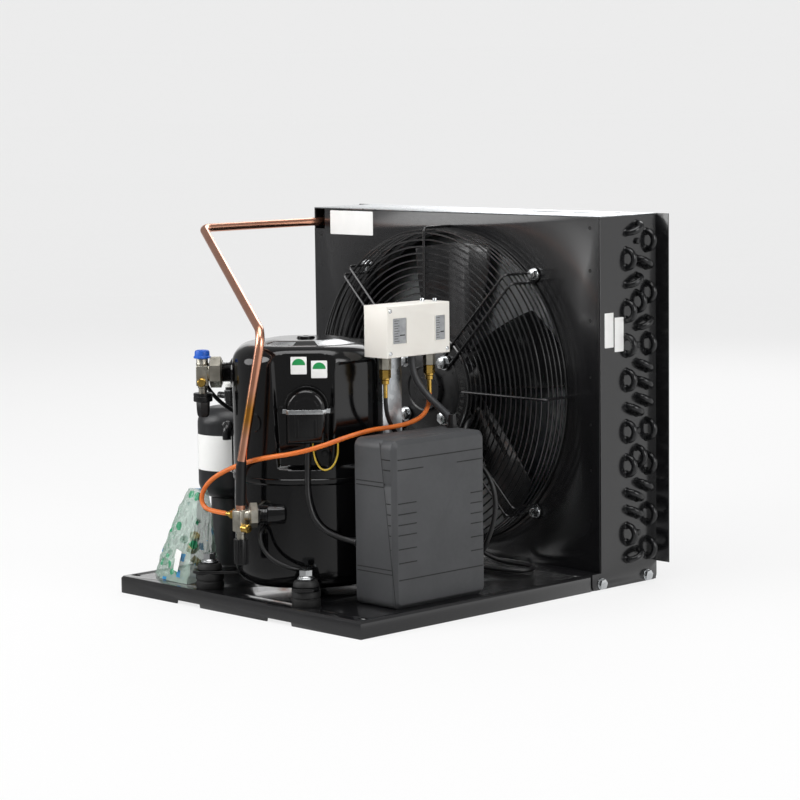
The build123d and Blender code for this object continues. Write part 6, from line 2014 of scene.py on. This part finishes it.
CORDS = (
    Cord(
        "orange_pressure_hose", "high_side_hose", Coats.ORANGE, 6.5, 503, Feel.MEDIUM, Lay.HANGING,
        ((192.5, -52, 299.7), (192.5, -52, 284), (197, -70, 268), (199, -100, 261), (198, -136, 259),
         (197, -172, 259), (190, -212, 252), (174, -244, 241), (148, -268, 232), (114, -281, 226),
         (78, -282, 218), (44, -285, 207), (14, -291, 193), (-4, -297, 178), (-12, -300, 160),
         (-6, -300, 147), (12, -299.6, 143), (42.2, -299.6, 143)),
    ),
    Cord(
        "black_pressure_hose", "low_side_hose", Coats.JACKET, 6.0, 570, Feel.MEDIUM, Lay.HANGING,
        ((192.5, -137.3, 299.7), (192.5, -137.3, 280), (188, -120, 254), (184, -96, 236), (172, -70, 224),
         (142, -44, 215), (100, -30, 209), (56, -32, 208), (12, -44, 212), (-28, -70, 220), (-58, -104, 232),
         (-76, -146, 248), (-84, -188, 270), (-80, -222, 296), (-66, -243.4, 316), (-51.7, -257.7, 316)),
    ),
    Cord(
        "compressor_power_cable", "compressor_cable", Coats.JACKET, 8.0, 176, Feel.MEDIUM, Lay.HANGING,
        ((139.4, -234.4, 241.6), (139.6, -235.6, 222), (140.2, -237, 202), (141.6, -239, 182),
         (145.9, -240.2, 160), (153, -237.4, 139), (163.5, -229.6, 124), (176, -216.5, 114.5),
         (188, -206, 109.5), (203, -202.5, 108.5)),
    ),
    Cord(
        "grey_switch_cable", "switch_cable", Coats.GREY_JACKET, 10.0, 120, Feel.STIFF, Lay.HANGING,
        ((184, -78, 355.7), (184, -78, 338), (188, -73, 318), (198, -62, 297), (212, -50, 279),
         (225, -44.5, 266), (229, -44, 255.2)),
    ),
    Cord(
        "fan_motor_cable", "motor_cable", Coats.JACKET, 7.0, 819, Feel.MEDIUM, Lay.LOOSE,
        ((42, 152, 256.2), (64, 152, 246), (86, 146, 236), (90, 127, 232), (97, 115, 214), (104, 113, 186),
         (106, 113, 152), (106, 114, 118), (106, 116, 86), (109, 121, 58), (121, 132, 38), (142, 145, 29),
         (168, 152, 28), (195, 150, 28), (215, 136, 28), (218, 115, 28), (205, 101, 28), (182, 97, 28),
         (158, 97, 28), (138, 86, 28), (130, 64, 28), (138, 42, 28), (160, 26, 31), (190, 15, 40),
         (220, 4, 52), (246, -8, 70), (264, -13, 92), (274, -11, 116), (277, -8, 142), (274, -9, 168),
         (264, -12, 190), (251, -18, 203), (245, -25, 207), (244, -30.4, 207.5)),
    ),
    Cord(
        "crankcase_heater_lead", "heater_lead", Coats.JACKET, 6.0, 118, Feel.LIMP, Lay.HANGING,
        ((84.4, -267.3, 126), (88, -279, 121), (93, -284, 108), (101, -284, 95), (114, -280, 84),
         (128, -272, 76), (138, -260, 71), (139, -247, 69), (130.6, -238.4, 68.4)),
    ),
    Cord(
        "yellow_earth_wire", "earth_wire", Coats.YELLOW, 2.6, 97, Feel.LIMP, Lay.HANGING,
        ((158.7, -198.8, 246), (163.2, -200.9, 245), (164.9, -202, 236), (164.8, -202.7, 225),
         (162.7, -206.3, 213), (157.7, -212.6, 205), (152, -219.7, 204.5), (147.8, -225.3, 212),
         (145, -228.2, 224), (143.8, -229.1, 234), (143.4, -229.2, 241.6)),
    ),
)

@dataclass
class Pipes:
    """The bent copper discharge line with its black sleeve, and the liquid line."""

    discharge: tuple = (
        (-301, 212, 516), (-286, 212, 516), (-286, -55, 516), (101, -281, 394), (75.7, -300.6, 213),
        (71.7, -299.6, 151.9),
    )
    discharge_radii: tuple = (12, 24, 28, 30)
    discharge_radius: float = 6.3
    liquid: tuple = (
        (-309, 299, 27.7), (-309, 299, 13), (-309, 140, 13), (-309, 110, 44), (-150, 60, 60), (-150, -40, 60),
        (-150, -50, 200), (-150, -78.2, 200),
    )
    liquid_radii: tuple = (7, 14, 14, 20, 20, 10)
    liquid_radius: float = 4.7
    sleeve_top: float = 219.0
    sleeve_end: tuple[float, float, float] = (71.8, -299.6, 158)
    sleeve_radius: float = 6.95

    def discharge_path(self) -> list[Vector]:
        """The discharge line's centre line."""
        return rounded([mm(*corner) for corner in self.discharge], self.discharge_radii, 14)

    def sleeve(self) -> None:
        """Slides a black heat-shrink sleeve over the pipe above the valve."""
        path = self.discharge_path()
        low = [point for point in path if point.z < self.sleeve_top * MM and point.x > 0]
        above = path[path.index(low[0]) - 1]
        start = above.lerp(low[0], (above.z - self.sleeve_top * MM) / (above.z - low[0].z))
        form = Form().swept([start] + low[:-1] + [mm(*self.sleeve_end)], self.sleeve_radius, 28)
        form.done("discharge_pipe_sleeve", Coats.JACKET)

    def build(self) -> None:
        """Bends the discharge line and the bare liquid line under the coil, and fits the sleeve."""
        form = Form().swept(self.discharge_path(), self.discharge_radius, 28)
        form.done("discharge_copper_pipe", Coats.COPPER, nodes=("discharge_line",))
        self.sleeve()
        path = rounded([mm(*corner) for corner in self.liquid], self.liquid_radii, 10)
        form = Form().swept(path, self.liquid_radius, 20)
        form.done("liquid_copper_pipe", Coats.COPPER, nodes=("liquid_line",))


@dataclass
class FittingsBag:
    """A clear plastic bag that leans on the receiver, creased, with a blank label and brass parts inside.

    It narrows from its foot's corners to its head's, and is pinched together near the top.
    """

    foot: tuple = ((-203, -236), (-150, -270), (-74, -276), (-98, -192), (-150, -184))
    head: tuple = ((-150, -214), (-124, -232), (-92, -236), (-100, -206), (-122, -196))
    low: float = 24.4
    high: float = 152.0
    steps: int = 96
    levels: int = 60
    pinch: float = 0.22
    pinch_start: float = 0.76
    wave: float = 2.0

    @staticmethod
    def crease(step: int, share: float) -> float:
        """How far the film is drawn in at one point of a level: three waves of creases, across and down."""
        wide = 2.2 * math.sin(step * 0.9 + share * 9)
        middle = 1.6 * math.sin(step * 2.3 - share * 23)
        return wide + middle + 1.2 * math.sin(share * 31 + step)

    def outline(self, share: float) -> list[Vector]:
        """One level of the bag, its corners rounded off and its sides creased."""
        corners = [Vector(a).lerp(Vector(b), share) for a, b in zip(self.foot, self.head)]
        centre = sum(corners, Vector((0, 0))) / len(corners)
        slack = 0.3 + 0.7 * math.sin(math.pi * min(1, share * 1.1 + 0.1))
        points = []
        for step in range(self.steps):
            place = step / self.steps * len(corners)
            index, part = int(place), place - int(place)
            point = corners[index].lerp(corners[(index + 1) % len(corners)], part)
            near = 1 - abs(part - 0.5) * 2
            out = point - centre
            pull = 0.99 - 0.05 * (1 - near) ** 2 - 0.02 * abs(math.sin(share * 14))
            inward = out.normalized() * (1.8 + 0.7 * self.crease(step, share)) * slack
            point = centre + out * pull - inward
            points.append(mm(point.x, point.y, 0))
        return points

    def film(self) -> None:
        """Lofts the creased film and gathers it at the top."""
        loops = []
        for level in range(self.levels + 1):
            share = level / self.levels
            points = self.outline(share)
            centre = sum(points, Vector((0, 0, 0))) / len(points)
            drawn = 1 - self.pinch * smooth((share - self.pinch_start) / (1 - self.pinch_start))
            drawn *= 0.95 + 0.05 * smooth(share * 8)
            up = self.low + (self.high - self.low - 1) * share
            wave = self.wave * math.sin(level * 0.7) if 2 < level < self.levels else 0.0
            loop = []
            for index, point in enumerate(points):
                height = max(self.low, min(self.high - 0.5, up + wave * math.sin(index * 0.35)))
                loop.append(centre + (point - centre) * drawn + mm(0, 0, height))
            loops.append(loop)
        Form().rings(loops).done("bag_film", Coats.FILM, nodes=("fittings_bag",))

    def contents(self) -> None:
        """Puts a blank label and brass fittings in the bag."""
        across, up = Vector((0.91, -0.41, 0)).normalized(), Vector((0.1, 0.22, 0.97)).normalized()
        plane = facing(mm(-142, -254, 40), across, up)
        label = Form().plate([rectangle(0, 0, 46, 30, 2.0)], 0.3, plane, 0.05)
        label.done("bag_blank_label", Coats.PAPER)
        stem = ((8, 0), (8, 9), (6, 10), (6, 22), (7.4, 23), (7.4, 30))
        brass = Form().turned(stem, mm(-128, -222, 62), Vector((0.5, -0.2, 0.8)), 32)
        brass.hexagon(16, 10, mm(-112, -230, 44), Vector((0.3, 0.5, 0.7)))
        brass.done("bagged_brass_fittings", Coats.BRASS)

    def build(self) -> None:
        """Builds the bag."""
        self.film()
        self.contents()


def main() -> None:
    """Builds the studio and every sub-assembly in order."""
    logging.basicConfig(level=logging.INFO, format="%(name)s %(message)s")
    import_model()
    Studio().build()
    for cord in CORDS:
        cord.build()
    for group in (
        Case(), Coil(), Bends(), FanGuard(), Fan(), Compressor(), Terminals(), Valves(), Receiver(),
        PressureSwitch(), ElectricalBox(), Pipes(), FittingsBag(),
    ):
        LOG.info("building %s", type(group).__name__)
        group.build()


if __name__ == "__main__":
    main()
